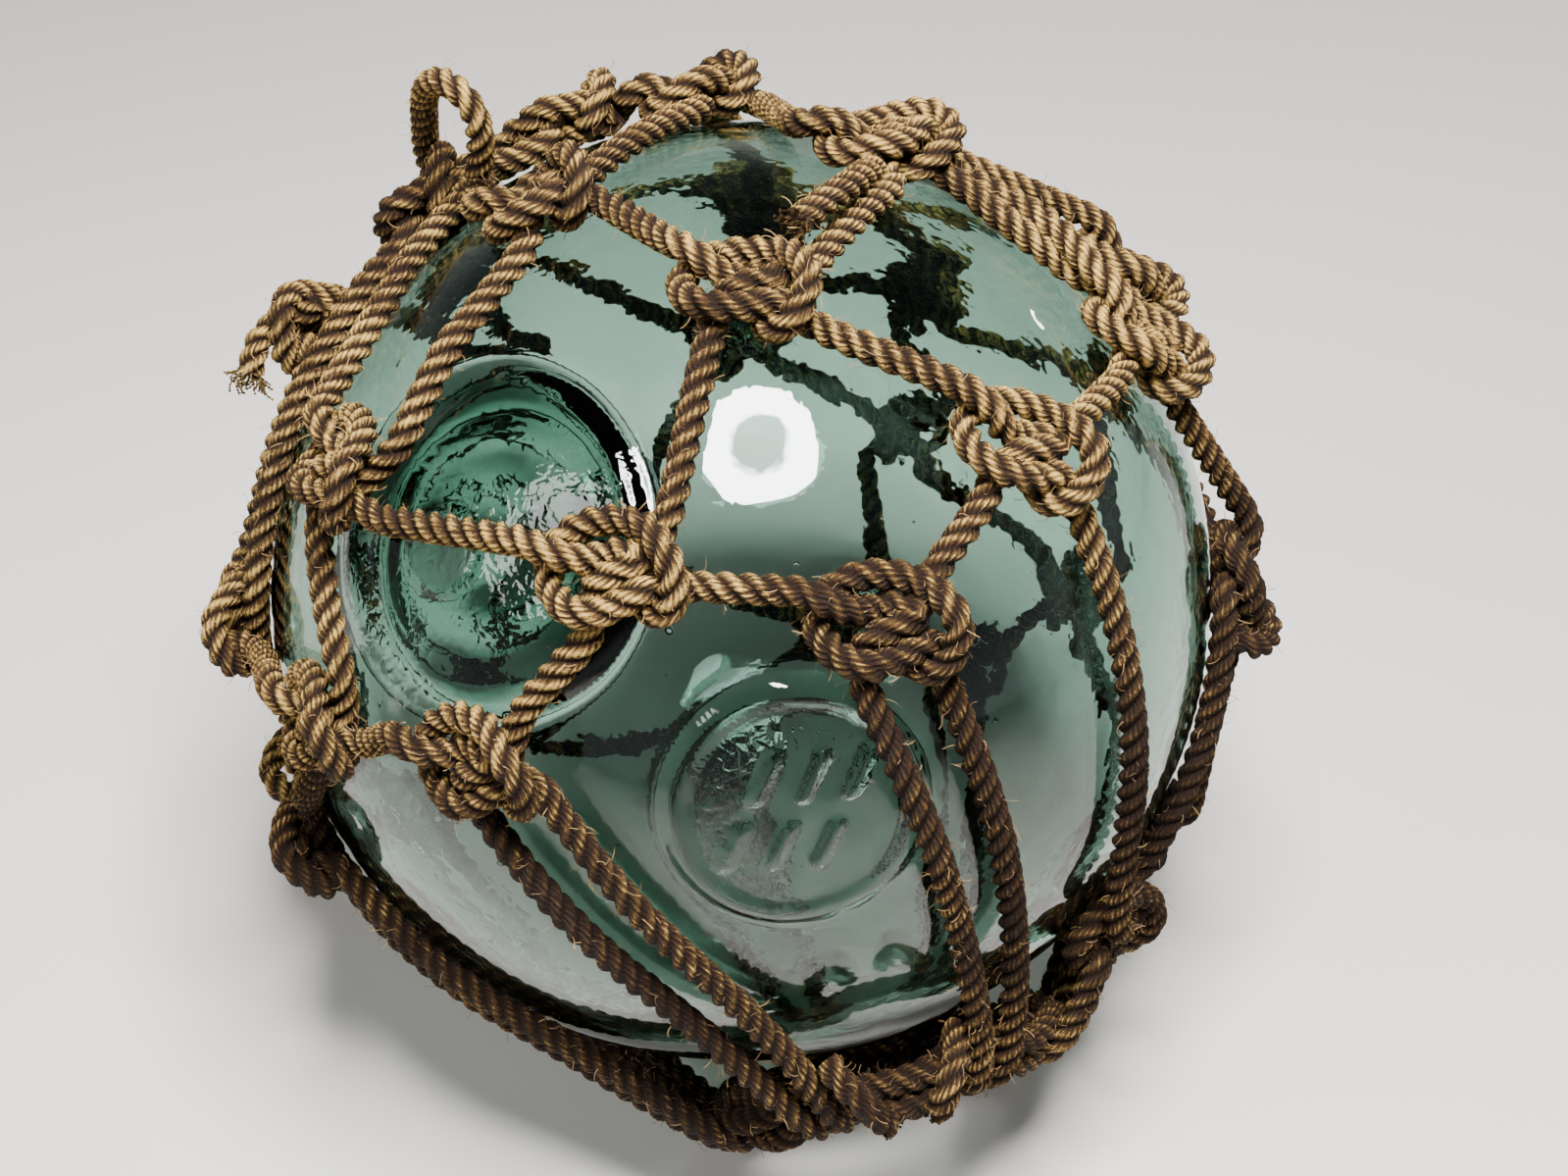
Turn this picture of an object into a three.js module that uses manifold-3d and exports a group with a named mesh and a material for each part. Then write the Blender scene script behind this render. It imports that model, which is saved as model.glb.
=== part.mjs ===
// Blown glass float ball in a knotted rope net. Millimetres, +Z up; the float lies on the plane z = 0.
// The net is laid out on its own globe: latitude is measured towards the foot ring, which is the net's
// lower pole, and longitude runs eastwards from the front. The whole net then leans forwards.

import * as THREE from 'three';
import * as BufferGeometryUtils from 'three/addons/utils/BufferGeometryUtils.js';
import Module from 'manifold-3d';

// Driving dimensions.
const BALL_DIAMETER = 305;
const ROPE_DIAMETER = 9;
const RING_DIAMETER = 106;
const RING_TURN_COUNT = 3;
const SEAL_DIAMETER = 110;
const SEAL_RISE = 3;
const DISC_DIAMETER = 78;
const DISC_RISE = 3;
const PRESSED_ROPE = 7;
const CLEARANCE = 0.9;

// How the net sits on the ball, in degrees.
const NET_LEAN = 49;
const NET_HEADING = 22;
const KNOTS_AROUND = 8;
const FIRST_COLUMN = -93;
const ROW_LATITUDES = [14, 3, -19, -44];

// Fineness of the faceted solids.
const ROPE_SIDES = 4;
const BALL_SEGMENTS = 26;
const BALL_RINGS = 13;
const RING_SEGMENTS = 20;
const RELIEF_SEGMENTS = 16;
const LEG_STEP = 13;
const SECTION_RADIUS = 5.6;
const STEEP = 0.8;
const TURN_ARC = 85;
const PAD_ROOT = 6;

// Worked out from the sizes above.
const BALL_RADIUS = BALL_DIAMETER / 2;
const ROPE_RADIUS = ROPE_DIAMETER / 2;
const COLUMN_STEP = 360 / KNOTS_AROUND;
const BALL_CENTRE = new THREE.Vector3(0, 0, BALL_RADIUS + PRESSED_ROPE);
const RING_BUNDLE_RADIUS = ROPE_RADIUS * (1 + 2 / Math.sqrt(3));
const RING_HEIGHT = ROPE_DIAMETER + RING_BUNDLE_RADIUS + 2 * CLEARANCE;

// Each knot is tied a little out of line: [degrees east, degrees towards the ring, turn], row by row
// upwards from the foot ring. The fourth and fifth knots of the first row have slipped down to the ring.
const TIED_OFF_LINE = [
  [[-3, 1, -10], [0, 0, -20], [-1, -1, -17], [18, 44, 10], [4, 30, 0], [2, -2, 8], [-3, 2, -12], [4, -1, 5]],
  [[1, 1, -25], [-2, -2, -17], [-4, -3, -34], [-2, 14, -60], [2, 6, 10], [-4, 0, -8], [3, -2, 12], [-3, 1, -6]],
  [[-1, 7, -30], [-8, 0, -50], [-4, -4, -34], [0, 9, -40], [3, 4, 5], [-2, -2, 14], [4, -3, -10], [2, 1, 9]],
  [[8, -15, 20], [-3, 0, 0], [4, 3, -10], [-6, 23, -40], [3, 6, 12], [-5, 1, -9], [2, -3, 6], [31, -1, -30]],
];

// The four crown knots that close the net round its upper pole: [latitude, longitude, turn].
const CROWN_KNOTS = [[-73, -30, 10], [-68, 14, 0], [-60, 128, 125], [-62, 228, 215]];
const CROWN_TIGHTNESS = 0.65;

// Where the two long ends of each first-row knot cross the foot ring.
const RING_PLACES = [-84, -38, 16, 58, 96, 138, 182, 228];
const LONG_END_SPREAD = 6;

// One knot, a sheet bend with its legs drawn apart. Each entry is [east, up, height above the glass],
// in rope diameters. The left cord is a bight, and apex is the entry where it turns. The right cord goes
// round it and tucks under the knot: that hidden run, between the two entries named in tuck, is left
// out. The crown knots and those at the back of the float are a plainer bend with nothing tucked.
const OPEN_KNOT = {
  left: [
    [-3, 1, 0.5], [-2.2, 0.7, 1.38], [0.3, 0.6, 1.3], [1.3, 0, 1.5], [-0.2, -0.65, 1.4], [-1.1, -0.95, 0.5],
    [-1, -2.3, 0.5],
  ],
  right: [
    [2.4, 2.2, 0.5], [1.3, 0.3, 0.7], [1.2, -2, 0.9], [2.5, -1.6, 1.5], [2.4, 0.3, 2.2], [0.8, 1.55, 1.5],
    [-1.5, 1.5, 0.5], [-2.6, 0.2, 0.5], [-1.7, -1.7, 1.45], [1.4, -0.95, 1.4], [3.2, -0.4, 0.5],
  ],
  apex: 3,
  tuck: [1, 2],
};
const PLAIN_KNOT = {
  left: [[-2.9, 0.6, 0.5], [1.2, -0.3, 1.3], [-1, -2.2, 0.5]],
  right: [[2.2, 2.1, 0.5], [-0.6, 1.9, 1.5], [-2.3, 0.2, 1.7], [-1.3, -1.8, 1.6], [3.1, -0.6, 0.6]],
  apex: 1,
  tuck: [],
};
const BACK_OF_FLOAT = 100;

// The glass forms pressed on the ball: [latitude, longitude] in the net's own degrees.
const SEAL_PLACE = [-7, -40];
const DISC_PLACE = [29, -18];

const DISC_FIELD_RISE = DISC_RISE * 0.35;

// The generic strokes on the disc.
const STROKE_WIDTH = 5;
const STROKE_LENGTH = 16;
const STROKE_DEPTH = 5;
const STROKE_PROUD = 1.4;
const STROKE_PITCH = 13;

// The hanging loop's route: [latitude, longitude, height above the glass in rope diameters].
const LOOP_ROUTE = [
  [-64, -64, 2.7], [-60, -52, 3.4], [-55, -40, 4.5], [-52, -35, 4.3], [-51, -34, 3.3], [-52, -37, 2.4], [-54, -41, 1.7],
];

const radians = THREE.MathUtils.degToRad;
const netTurn = new THREE.Quaternion()
  .setFromAxisAngle(new THREE.Vector3(0, 0, 1), radians(NET_HEADING))
  .multiply(new THREE.Quaternion().setFromAxisAngle(new THREE.Vector3(1, 0, 0), radians(-NET_LEAN)));

// Direction from the ball's centre at a latitude and longitude of the net.
function netDirection(latitude, longitude) {
  const low = radians(latitude);
  const east = radians(longitude);
  return new THREE.Vector3(Math.cos(low) * Math.sin(east), -Math.cos(low) * Math.cos(east), -Math.sin(low))
    .applyQuaternion(netTurn);
}

// How far a pressed form lifts the rope that crosses it, fading out just beyond its rim.
function liftOver(direction, place, diameter, rise) {
  const reach = BALL_RADIUS * direction.angleTo(netDirection(...place));
  return rise * (1 - THREE.MathUtils.smoothstep(reach, diameter / 2, diameter / 2 + 3 * ROPE_DIAMETER));
}

// Point over the glass, at a height in rope diameters above it.
function overGlass(direction, height) {
  const lift = liftOver(direction, SEAL_PLACE, SEAL_DIAMETER, SEAL_RISE)
    + liftOver(direction, DISC_PLACE, DISC_DIAMETER, DISC_RISE);
  const radius = BALL_RADIUS + CLEARANCE + lift + height * ROPE_DIAMETER;
  return direction.clone().multiplyScalar(radius).add(BALL_CENTRE);
}

function towards(point) {
  return point.clone().sub(BALL_CENTRE).normalize();
}

// Where a sweep is cut: at the turns of the left cords, and at both ends of the right cords' hidden runs.
const turningPoints = new Set();
const tuckedPoints = new Set();

// A knot's two cords, laid on the glass round its own centre.
function tieKnot(latitude, longitude, turn, tightness = 1) {
  const isOpen = tightness === 1 && (longitude < BACK_OF_FLOAT || longitude > 360 - BACK_OF_FLOAT);
  const pattern = isOpen ? OPEN_KNOT : PLAIN_KNOT;
  const centre = netDirection(latitude, longitude);
  const north = netDirection(-90, 0).projectOnPlane(centre).normalize();
  const east = north.clone().cross(centre);
  north.applyAxisAngle(centre, radians(turn));
  east.applyAxisAngle(centre, radians(turn));
  const lay = ([across, up, height]) => overGlass(
    centre.clone().multiplyScalar(BALL_RADIUS)
      .addScaledVector(east, across * tightness * ROPE_DIAMETER)
      .addScaledVector(north, up * tightness * ROPE_DIAMETER)
      .normalize(), height);
  const left = pattern.left.map(lay);
  const right = pattern.right.map(lay);
  turningPoints.add(left[pattern.apex]);
  pattern.tuck.forEach((index) => tuckedPoints.add(right[index]));
  return { left, right };
}

// Points of a leg between two knots, on the great circle from one end to the other.
function layLeg(start, end) {
  const from = towards(start);
  const angle = from.angleTo(towards(end));
  const axis = from.clone().cross(towards(end)).normalize();
  const steps = Math.ceil(angle / radians(LEG_STEP));
  const points = [];
  for (let step = 1; step < steps; step += 1) {
    points.push(overGlass(from.clone().applyAxisAngle(axis, (angle * step) / steps), 0.5));
  }
  return points;
}

// A long end comes down the glass, climbs over the foot ring and tucks in under it.
function hitchOverRing(longitude) {
  const ringLatitude = 90 - THREE.MathUtils.radToDeg(Math.asin(RING_DIAMETER / 2 / (BALL_RADIUS + RING_HEIGHT)));
  const outwards = netDirection(ringLatitude, longitude);
  const inwards = netDirection(90, longitude).projectOnPlane(outwards).normalize();
  const middle = outwards.clone().multiplyScalar(BALL_RADIUS + RING_HEIGHT).add(BALL_CENTRE);
  const reach = RING_BUNDLE_RADIUS + ROPE_RADIUS + CLEARANCE;
  const around = [-15, 55, 110, 165, 215].map((degrees) => middle.clone()
    .addScaledVector(inwards, -reach * Math.cos(radians(degrees)))
    .addScaledVector(outwards, reach * Math.sin(radians(degrees))));
  const foot = outwards.clone().multiplyScalar(BALL_RADIUS).addScaledVector(inwards, -2.3 * reach);
  return [overGlass(foot.normalize(), 0.5), ...around.slice(1)];
}

// All the knots, by row and column.
const rows = TIED_OFF_LINE.map((row, rowIndex) => row.map(([east, down, turn], column) => tieKnot(
  ROW_LATITUDES[rowIndex] + down,
  FIRST_COLUMN + COLUMN_STEP * (column + (rowIndex % 2) / 2) + east,
  turn)));
const crown = CROWN_KNOTS.map((knot) => tieKnot(...knot, CROWN_TIGHTNESS));

// One long end and the zigzag of cord above it, from the foot ring up to the top row. A cord that starts
// as a knot's left cord is the right cord of the next knot, and so on by turns.
function climbFromRing(column, side) {
  const startsLeft = side === 'left';
  const ringPlace = RING_PLACES[column] + (startsLeft ? -1 : 1) * LONG_END_SPREAD;
  const route = hitchOverRing(ringPlace).reverse();
  rows.forEach((row, rowIndex) => {
    const isOffset = rowIndex % 2 === 1;
    const place = isOffset && startsLeft ? (column + KNOTS_AROUND - 1) % KNOTS_AROUND : column;
    const cordSide = isOffset === startsLeft ? 'right' : 'left';
    const cord = [...row[place][cordSide]].reverse();
    route.push(...layLeg(route[route.length - 1], cord[0]), ...cord);
  });
  return route;
}

// Joins runs of cord end to end, with a leg laid over the glass between each and the next.
function joinRuns(...runs) {
  const route = [...runs[0]];
  runs.slice(1).forEach((run) => {
    route.push(...layLeg(route[route.length - 1], run[0]), ...run);
  });
  return route;
}

// The net's eight cords. Every other column closes on itself over the top, and the rest go through
// the crown knots to the column two places west.
function layCords() {
  return RING_PLACES.map((_, column) => {
    const up = climbFromRing(column, 'left');
    if (column % 2 === 1) return joinRuns(up, climbFromRing(column, 'right').reverse());
    const last = (column + KNOTS_AROUND - 2) % KNOTS_AROUND;
    return joinRuns(up, [...crown[column / 2].left].reverse(), crown[last / 2].right,
      climbFromRing(last, 'right').reverse());
  });
}

// A polyline route whose sections stand at its own points, with frames carried along without twist.
class RopeRoute extends THREE.Curve {
  constructor(points, frames) {
    super();
    this.points = points;
    this.frames = frames;
  }

  getPointAt(share) {
    return this.points[Math.round(share * (this.points.length - 1))].clone();
  }

  computeFrenetFrames() {
    return this.frames;
  }
}

// Frames whose normals stand away from the ball, carried on without twist where the rope climbs steeply.
function carryFrames(points) {
  const tangents = points.map((point, i) => points[Math.min(i + 1, points.length - 1)].clone()
    .sub(points[Math.max(i - 1, 0)]).normalize());
  const normals = [];
  tangents.forEach((tangent, i) => {
    const outwards = towards(points[i]);
    const carried = (i === 0 ? outwards : normals[i - 1]).clone().projectOnPlane(tangent).normalize();
    if (Math.abs(outwards.dot(tangent)) < STEEP) {
      const upright = outwards.projectOnPlane(tangent).normalize();
      if (upright.dot(carried) < 0) upright.negate();
      normals.push(upright);
    } else normals.push(carried);
  });
  const binormals = tangents.map((tangent, i) => tangent.clone().cross(normals[i]));
  return { tangents, normals, binormals };
}

const wasm = await Module();
wasm.setup();

function toSolid(geometry) {
  const bare = geometry.index ? geometry : geometry.clone();
  bare.deleteAttribute('normal');
  bare.deleteAttribute('uv');
  const merged = BufferGeometryUtils.mergeVertices(bare, 1e-4);
  return new wasm.Manifold(new wasm.Mesh({
    numProp: 3,
    vertProperties: new Float32Array(merged.attributes.position.array),
    triVerts: new Uint32Array(merged.index.array),
  }));
}

// Joins solids, and fills the pinholes that close up where several cords meet.
function fuse(solids) {
  const whole = solids.reduce((sum, solid) => sum.add(solid));
  return whole.decompose().reduce((best, body) => (body.volume() > best.volume() ? body : best));
}

function toGeometry(solid) {
  const mesh = solid.getMesh();
  const geometry = new THREE.BufferGeometry();
  geometry.setAttribute('position', new THREE.BufferAttribute(mesh.vertProperties, 3));
  geometry.setIndex(new THREE.BufferAttribute(mesh.triVerts, 1));
  geometry.computeVertexNormals();
  return geometry;
}

const ropeSection = new THREE.Shape(Array.from({ length: ROPE_SIDES }, (_, side) => {
  const angle = (2 * Math.PI * (side + 0.5)) / ROPE_SIDES;
  return new THREE.Vector2(Math.cos(angle), Math.sin(angle)).multiplyScalar(SECTION_RADIUS);
}));

// The stretches of a route that show, with the hidden runs under the knots left out.
function findVisibleRuns(points) {
  const runs = [[]];
  points.forEach((point, i) => {
    if (i > 0 && tuckedPoints.has(point) && tuckedPoints.has(points[i - 1])) runs.push([]);
    runs[runs.length - 1].push(point);
  });
  return runs;
}

// A stretch of rope, swept in spans that meet face to face where the cord turns back on itself.
function sweepRun(points) {
  const frames = carryFrames(points);
  const stops = [...points.keys()]
    .filter((i) => i === 0 || i === points.length - 1 || turningPoints.has(points[i]));
  return stops.slice(1).map((stop, i) => {
    const cut = (list) => list.slice(stops[i], stop + 1);
    const route = new RopeRoute(cut(points), {
      tangents: cut(frames.tangents), normals: cut(frames.normals), binormals: cut(frames.binormals),
    });
    return toSolid(new THREE.ExtrudeGeometry(ropeSection, {
      steps: stop - stops[i], bevelEnabled: false, extrudePath: route,
    }));
  });
}

// Everything under the plane that the float lies on is pressed flat against it.
function pressFlat(solid) {
  const floor = new THREE.BoxGeometry(2 * BALL_DIAMETER, 2 * BALL_DIAMETER, BALL_RADIUS);
  floor.translate(0, 0, -BALL_RADIUS / 2);
  return solid.subtract(toSolid(floor));
}

function makeNet() {
  return pressFlat(fuse(layCords().flatMap(findVisibleRuns).flatMap(sweepRun)));
}

// The grommet: turns of rope lying together, all round the net's lower pole.
function makeFootRing() {
  const turnReach = ROPE_DIAMETER / Math.sqrt(3);
  const profile = [];
  for (let turn = 0; turn < RING_TURN_COUNT; turn += 1) {
    const middle = (2 * Math.PI * turn) / RING_TURN_COUNT + Math.PI / 2;
    [-1, 0, 1].forEach((share) => {
      const angle = middle + share * radians(TURN_ARC);
      profile.push(new THREE.Vector2(
        RING_DIAMETER / 2 + turnReach * Math.cos(middle) + ROPE_RADIUS * Math.cos(angle),
        turnReach * Math.sin(middle) + ROPE_RADIUS * Math.sin(angle)));
    });
  }
  profile.push(profile[0].clone());
  const ring = new THREE.LatheGeometry(profile, RING_SEGMENTS);
  const height = Math.sqrt((BALL_RADIUS + RING_HEIGHT) ** 2 - (RING_DIAMETER / 2) ** 2);
  ring.rotateX(-Math.PI / 2);
  ring.translate(0, 0, -height);
  ring.applyQuaternion(netTurn);
  ring.translate(...BALL_CENTRE);
  return pressFlat(toSolid(ring));
}

function makeHangingLoop() {
  return fuse(sweepRun(LOOP_ROUTE.map(([latitude, longitude, height]) => overGlass(
    netDirection(latitude, longitude), height))));
}

// A pressed form on the ball: a low round pad whose top follows the glass.
function makePad(place, diameter, rise, dimple) {
  const reach = diameter / 2;
  const top = (across, lift) => new THREE.Vector2(across, Math.sqrt((BALL_RADIUS + lift) ** 2 - across ** 2));
  const root = BALL_RADIUS * Math.cos(reach / BALL_RADIUS) - PAD_ROOT;
  const profile = [
    new THREE.Vector2(0, root), new THREE.Vector2(reach, root), top(reach, rise * 0.3), top(reach - 0.8 * rise, rise),
    top(0.7 * reach, rise), top(dimple * 1.25, rise * 0.8), top(dimple, rise * 0.35), top(0, rise * 0.35),
  ];
  const pad = new THREE.LatheGeometry(profile, RELIEF_SEGMENTS);
  const upright = new THREE.Vector3(0, 1, 0);
  pad.applyQuaternion(new THREE.Quaternion().setFromUnitVectors(upright, netDirection(...place)));
  pad.translate(...BALL_CENTRE);
  return toSolid(pad);
}

// Two rows of short plain strokes, standing proud on the pressed disc.
function makeStrokes() {
  const place = netDirection(...DISC_PLACE);
  const turn = new THREE.Quaternion().setFromUnitVectors(new THREE.Vector3(0, 0, 1), place);
  const strokes = [];
  [-1, 1].forEach((row) => [-1, 0, 1].forEach((column) => {
    const stroke = new THREE.BoxGeometry(STROKE_WIDTH, STROKE_LENGTH, STROKE_DEPTH);
    const across = column * STROKE_PITCH;
    const along = row * 0.65 * STROKE_LENGTH;
    const height = Math.sqrt((BALL_RADIUS + DISC_FIELD_RISE) ** 2 - across ** 2 - along ** 2);
    stroke.translate(across, along, height + STROKE_PROUD - STROKE_DEPTH / 2);
    stroke.applyQuaternion(turn);
    stroke.translate(...BALL_CENTRE);
    strokes.push(toSolid(stroke));
  }));
  return strokes.reduce((whole, stroke) => whole.add(stroke));
}

function makeBall() {
  const ball = new THREE.SphereGeometry(BALL_RADIUS, BALL_SEGMENTS, BALL_RINGS);
  ball.rotateX(Math.PI / 2);
  ball.translate(...BALL_CENTRE);
  return toSolid(ball)
    .add(makePad(SEAL_PLACE, SEAL_DIAMETER, SEAL_RISE, SEAL_DIAMETER / 8))
    .add(makePad(DISC_PLACE, DISC_DIAMETER, DISC_RISE, DISC_DIAMETER * 0.38))
    .add(makeStrokes());
}

const group = new THREE.Group();

function addPiece(name, solid, colour, roughness) {
  const material = new THREE.MeshStandardMaterial({ color: colour, roughness, metalness: 0 });
  const mesh = new THREE.Mesh(toGeometry(solid), material);
  mesh.name = name;
  group.add(mesh);
}

addPiece('glass_ball', makeBall(), '#7fa093', 0.05);
addPiece('rope_net', makeNet(), '#8a6a42', 0.9);
addPiece('foot_ring', makeFootRing(), '#5c4328', 0.92);
addPiece('hanging_loop', makeHangingLoop(), '#8f7048', 0.9);

// The origin is under the middle of the whole, on the plane it lies on.
const bounds = new THREE.Box3().setFromObject(group);
const middle = bounds.getCenter(new THREE.Vector3());
group.children.forEach((mesh) => mesh.geometry.translate(-middle.x, -middle.y, 0));

export default group;
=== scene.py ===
"""Blown glass float ball in a knotted rope net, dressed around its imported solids.

The net is laid out on its own globe, as the solids are: latitude runs towards the foot ring, which is
the net's lower pole, and longitude runs eastwards from the front. Lengths are in millimetres from the
ball's centre until a mesh is made, and in metres in the meshes.
"""

import math

import bpy
import numpy as np
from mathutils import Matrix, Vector


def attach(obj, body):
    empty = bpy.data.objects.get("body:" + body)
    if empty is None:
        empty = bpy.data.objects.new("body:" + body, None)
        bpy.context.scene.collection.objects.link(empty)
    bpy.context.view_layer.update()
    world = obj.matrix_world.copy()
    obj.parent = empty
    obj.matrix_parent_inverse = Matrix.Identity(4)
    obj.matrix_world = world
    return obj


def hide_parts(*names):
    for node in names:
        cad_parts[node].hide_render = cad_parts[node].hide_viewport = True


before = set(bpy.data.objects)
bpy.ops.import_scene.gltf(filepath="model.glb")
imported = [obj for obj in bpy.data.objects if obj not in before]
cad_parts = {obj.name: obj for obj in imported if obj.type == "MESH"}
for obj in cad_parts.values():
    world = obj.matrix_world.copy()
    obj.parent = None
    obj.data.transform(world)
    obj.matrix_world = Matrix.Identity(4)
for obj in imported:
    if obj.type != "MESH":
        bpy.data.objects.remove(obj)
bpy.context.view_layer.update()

bl_info = {
    "name": "Netted glass float",
    "version": (1, 0, 0),
    "blender": (4, 5, 0),
    "location": "View3D > Sidebar > Float",
    "description": "Builds a blown glass float, its knotted rope net, foot ring, hanging loop and a plain stage",
    "category": "Add Mesh",
}

METRE = 1000.0
BALL_DIAMETER = 305.0
BALL_RADIUS = BALL_DIAMETER / 2
BALL_CENTRE = np.array([-2.726, 0.0245, 159.5])
ROPE = 9.0
CLEARANCE = 0.9
RING_DIAMETER = 106.0
RING_BUNDLE = ROPE / 2 * (1 + 2 / math.sqrt(3))
RING_HEIGHT = ROPE + RING_BUNDLE + 2 * CLEARANCE
SQUASHED_HEIGHT = 3.9

# How the net sits on the ball, in degrees.
NET_LEAN = 49
NET_HEADING = 22
KNOTS_AROUND = 8
FIRST_COLUMN = -93
COLUMN_STEP = 360 / KNOTS_AROUND
ROW_LATITUDES = (14, 3, -19, -44)

# Each knot is tied a little out of line: (degrees east, degrees towards the ring, turn), row by row
# upwards from the foot ring. The fourth and fifth knots of the first row have slipped down to the ring.
TIED_OFF_LINE = (
    ((-3, 1, -10), (0, 0, -20), (-1, -1, -17), (18, 44, 10), (4, 30, 0), (2, -2, 8), (-3, 2, -12), (4, -1, 5)),
    ((1, 1, -25), (-2, -2, -17), (-4, -3, -34), (-2, 14, -60), (2, 6, 10), (-4, 0, -8), (3, -2, 12), (-3, 1, -6)),
    ((-1, 7, -30), (-8, 0, -50), (-4, -4, -34), (0, 9, -40), (3, 4, 5), (-2, -2, 14), (4, -3, -10), (2, 1, 9)),
    ((8, -15, 20), (-3, 0, 0), (4, 3, -10), (-6, 23, -40), (3, 6, 12), (-5, 1, -9), (2, -3, 6), (31, -1, -30)),
)

# The four crown knots that close the net round its upper pole: (latitude, longitude, turn).
CROWN_KNOTS = ((-73, -30, 10), (-68, 14, 0), (-60, 128, 125), (-62, 228, 215))
CROWN_TIGHTNESS = 0.7
KNOT_TIGHTNESS = 0.8

# First-drawn knots that were pulled hard: (row, column) and how small they are.
HARD_KNOTS = {(3, 0): 0.85, (3, 1): 0.85, (3, 7): 0.9, (2, 0): 0.93}

# Features to the metre of each texture.
WEATHERED_LENGTHS = 9.0
WEATHERED_PATCHES = 32.0
ROPE_GRIT = 900.0
ROPE_LUMPS = 38.0
LOOSE_FIBRE_SHADES = 160.0
GLASS_SCUFFS = 420.0
SCUFFED_PATCHES = 14.0
GLASS_WAVES = 110.0
GLASS_PITS = 330.0
BOARD_PATCHES = 3.0

# Where the two long ends of each first-row knot cross the foot ring.
RING_PLACES = (-84, -38, 16, 58, 96, 138, 182, 228)
LONG_END_SPREAD = 6

# One sheet bend, loosely drawn up: (east, up, height above the glass) in rope diameters. The left cord
# is a bight, from its upper leg round the nose to its lower leg. The right cord is wrapped round it.
KNOT_LEFT = (
    (-3.3, 1, 1.2), (-2.5, 0.65, 1.55), (-1.7, 0.3, 1.3), (-1, 0, 0.75), (-0.4, 0.15, 0.55),
    (0.2, 0.5, 0.75), (0.8, 0.65, 1.1), (1.35, 0.45, 1.3), (1.45, 0, 1.3), (1, -0.2, 1.25), (0.3, -0.15, 1.2),
    (-0.4, -0.35, 1.25), (-0.9, -0.8, 0.9), (-0.95, -1.4, 0.5), (-0.8, -2.3, 0.5),
)
KNOT_RIGHT = (
    (1.9, 1.9, 0.5), (1.4, 0.9, 0.5), (1.1, 0.2, 0.5), (0.9, -0.5, 0.5), (0.9, -1.25, 0.5), (1.5, -1.5, 1.1),
    (2.1, -1, 1.5), (2.3, -0.2, 2.1), (1.9, 0.65, 2.1), (1.1, 1.35, 1.3), (0, 1.7, 0.9), (-1.2, 1.6, 0.7),
    (-2.2, 1.05, 0.6), (-2.7, 0.15, 0.5), (-2.55, -0.7, 0.6), (-1.8, -1.45, 1), (-0.6, -1.65, 1.4),
    (0.4, -1.2, 1.2), (1.1, -0.75, 1.4),
)
# The right cord leaves sideways for the next knot, or downwards where it is a long end.
EXIT_SIDEWAYS = ((2, -0.75, 0.7), (2.9, -0.7, 0.5))
EXIT_DOWN = ((1.8, -1.05, 0.7), (2.3, -1.9, 0.5))

# The glass forms pressed on the ball: (latitude, longitude) in the net's own degrees.
SEAL_PLACE = (-7, -43)
BUTTON_PLACE = (-7, -46.5)
SEAL_DIAMETER = 110
SEAL_RISE = 3
PAD_PLACE = (-6, -39)
PAD_DIAMETER = 84
DISC_PLACE = (30.5, -18)
NIB_PLACE = (33, -32)
DISC_DIAMETER = 78
DISC_RISE = 3
SEAL_SLOPE = 6
PAD_DEPTH = 1.5
PAD_SLOPE = 5
BUTTON_RISE = 1.3
RIM_SLOPE = 4.5
FIELD_DEPTH = 1.5
# The slanted strokes on the disc, in two rows of three.
STROKE_SPACING = 13
STROKE_ROW_HEIGHT = 10.4
STROKE_SLANT = 0.45
STROKE_RISE = 1.5

# The glass between its outside and inside, and the bubbles sealed in it.
BUBBLES = 46
BUBBLE_DEPTH = 2.6
SEAL_THICKENING = 8
THICK_RADIUS = 50
OUTER_GRID = 112
INNER_GRID = 52

# The hanging loop: (latitude, longitude, height above the glass in rope diameters).
LOOP_ROUTE = (
    (-64, -66, 1.8), (-62.5, -60, 2.4), (-60, -51.5, 3.3), (-56.5, -44, 4.3), (-53.2, -38, 4.8),
    (-51, -34.4, 4.5), (-50.6, -33.6, 3.5), (-51.8, -36, 2.4), (-53.6, -40.5, 1.4),
)

# A doubled leg and short ends that are part of the net: (latitude, longitude, height) runs.
STRAY_RUNS = (
    ((-38, 26, 1.1), (-33, 30, 0.6), (-26, 34.5, 0.55), (-19, 38, 0.6), (-13, 40, 1)),
    ((-45, -76, 1.5), (-43, -80, 2.2), (-40, -83, 2.6), (-37, -85, 2.2)),
    ((-36, 17, 0.8), (-32, 10, 1.4), (-29, 4, 1.6), (-27, 0, 1.7)),
    ((63, -29, 1.5), (64, -25.5, 2.5), (66, -22, 3.2), (70, -20, 3.3)),
    ((66, 6, 1.4), (65.5, 2, 2.3), (64, -3, 3), (66, -6, 3.5), (69, -6, 3.4)),
)

# Short runs whose far end has come undone: (run, how far the yarns spread in rope diameters).
FRAYED_ENDS = ((1, 0.9), (2, 0.4), (3, 0.2), (4, 0.2))
YARNS_IN_FRAY = 36
FRAY_LENGTH = 9.0
YARN_RADIUS = 0.0005
YARN_PITCH = 0.004
YARNS_AROUND = 15
# The yarns in a strand lean the other way from the strand: one turn of the rope in this length, in metres.
YARN_SLANT = 0.16

# How much shade is painted on the rope away from the foot ring and at it, and where that changes, in metres.
PAINTED_SHADE_AWAY_FROM_RING = 0.3
PAINTED_SHADE_AT_RING = 0.68
RING_SHADE_FROM = -0.01
RING_SHADE_TO = 0.075
# Extra painted shade on the foot ring's copy of the rope, and less on the hanging loop's, which paints the loop
# lighter.
RING_PAINTED_SHADE_SHIFT = 0.12
LOOP_PAINTED_SHADE_SHIFT = -0.06

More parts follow.
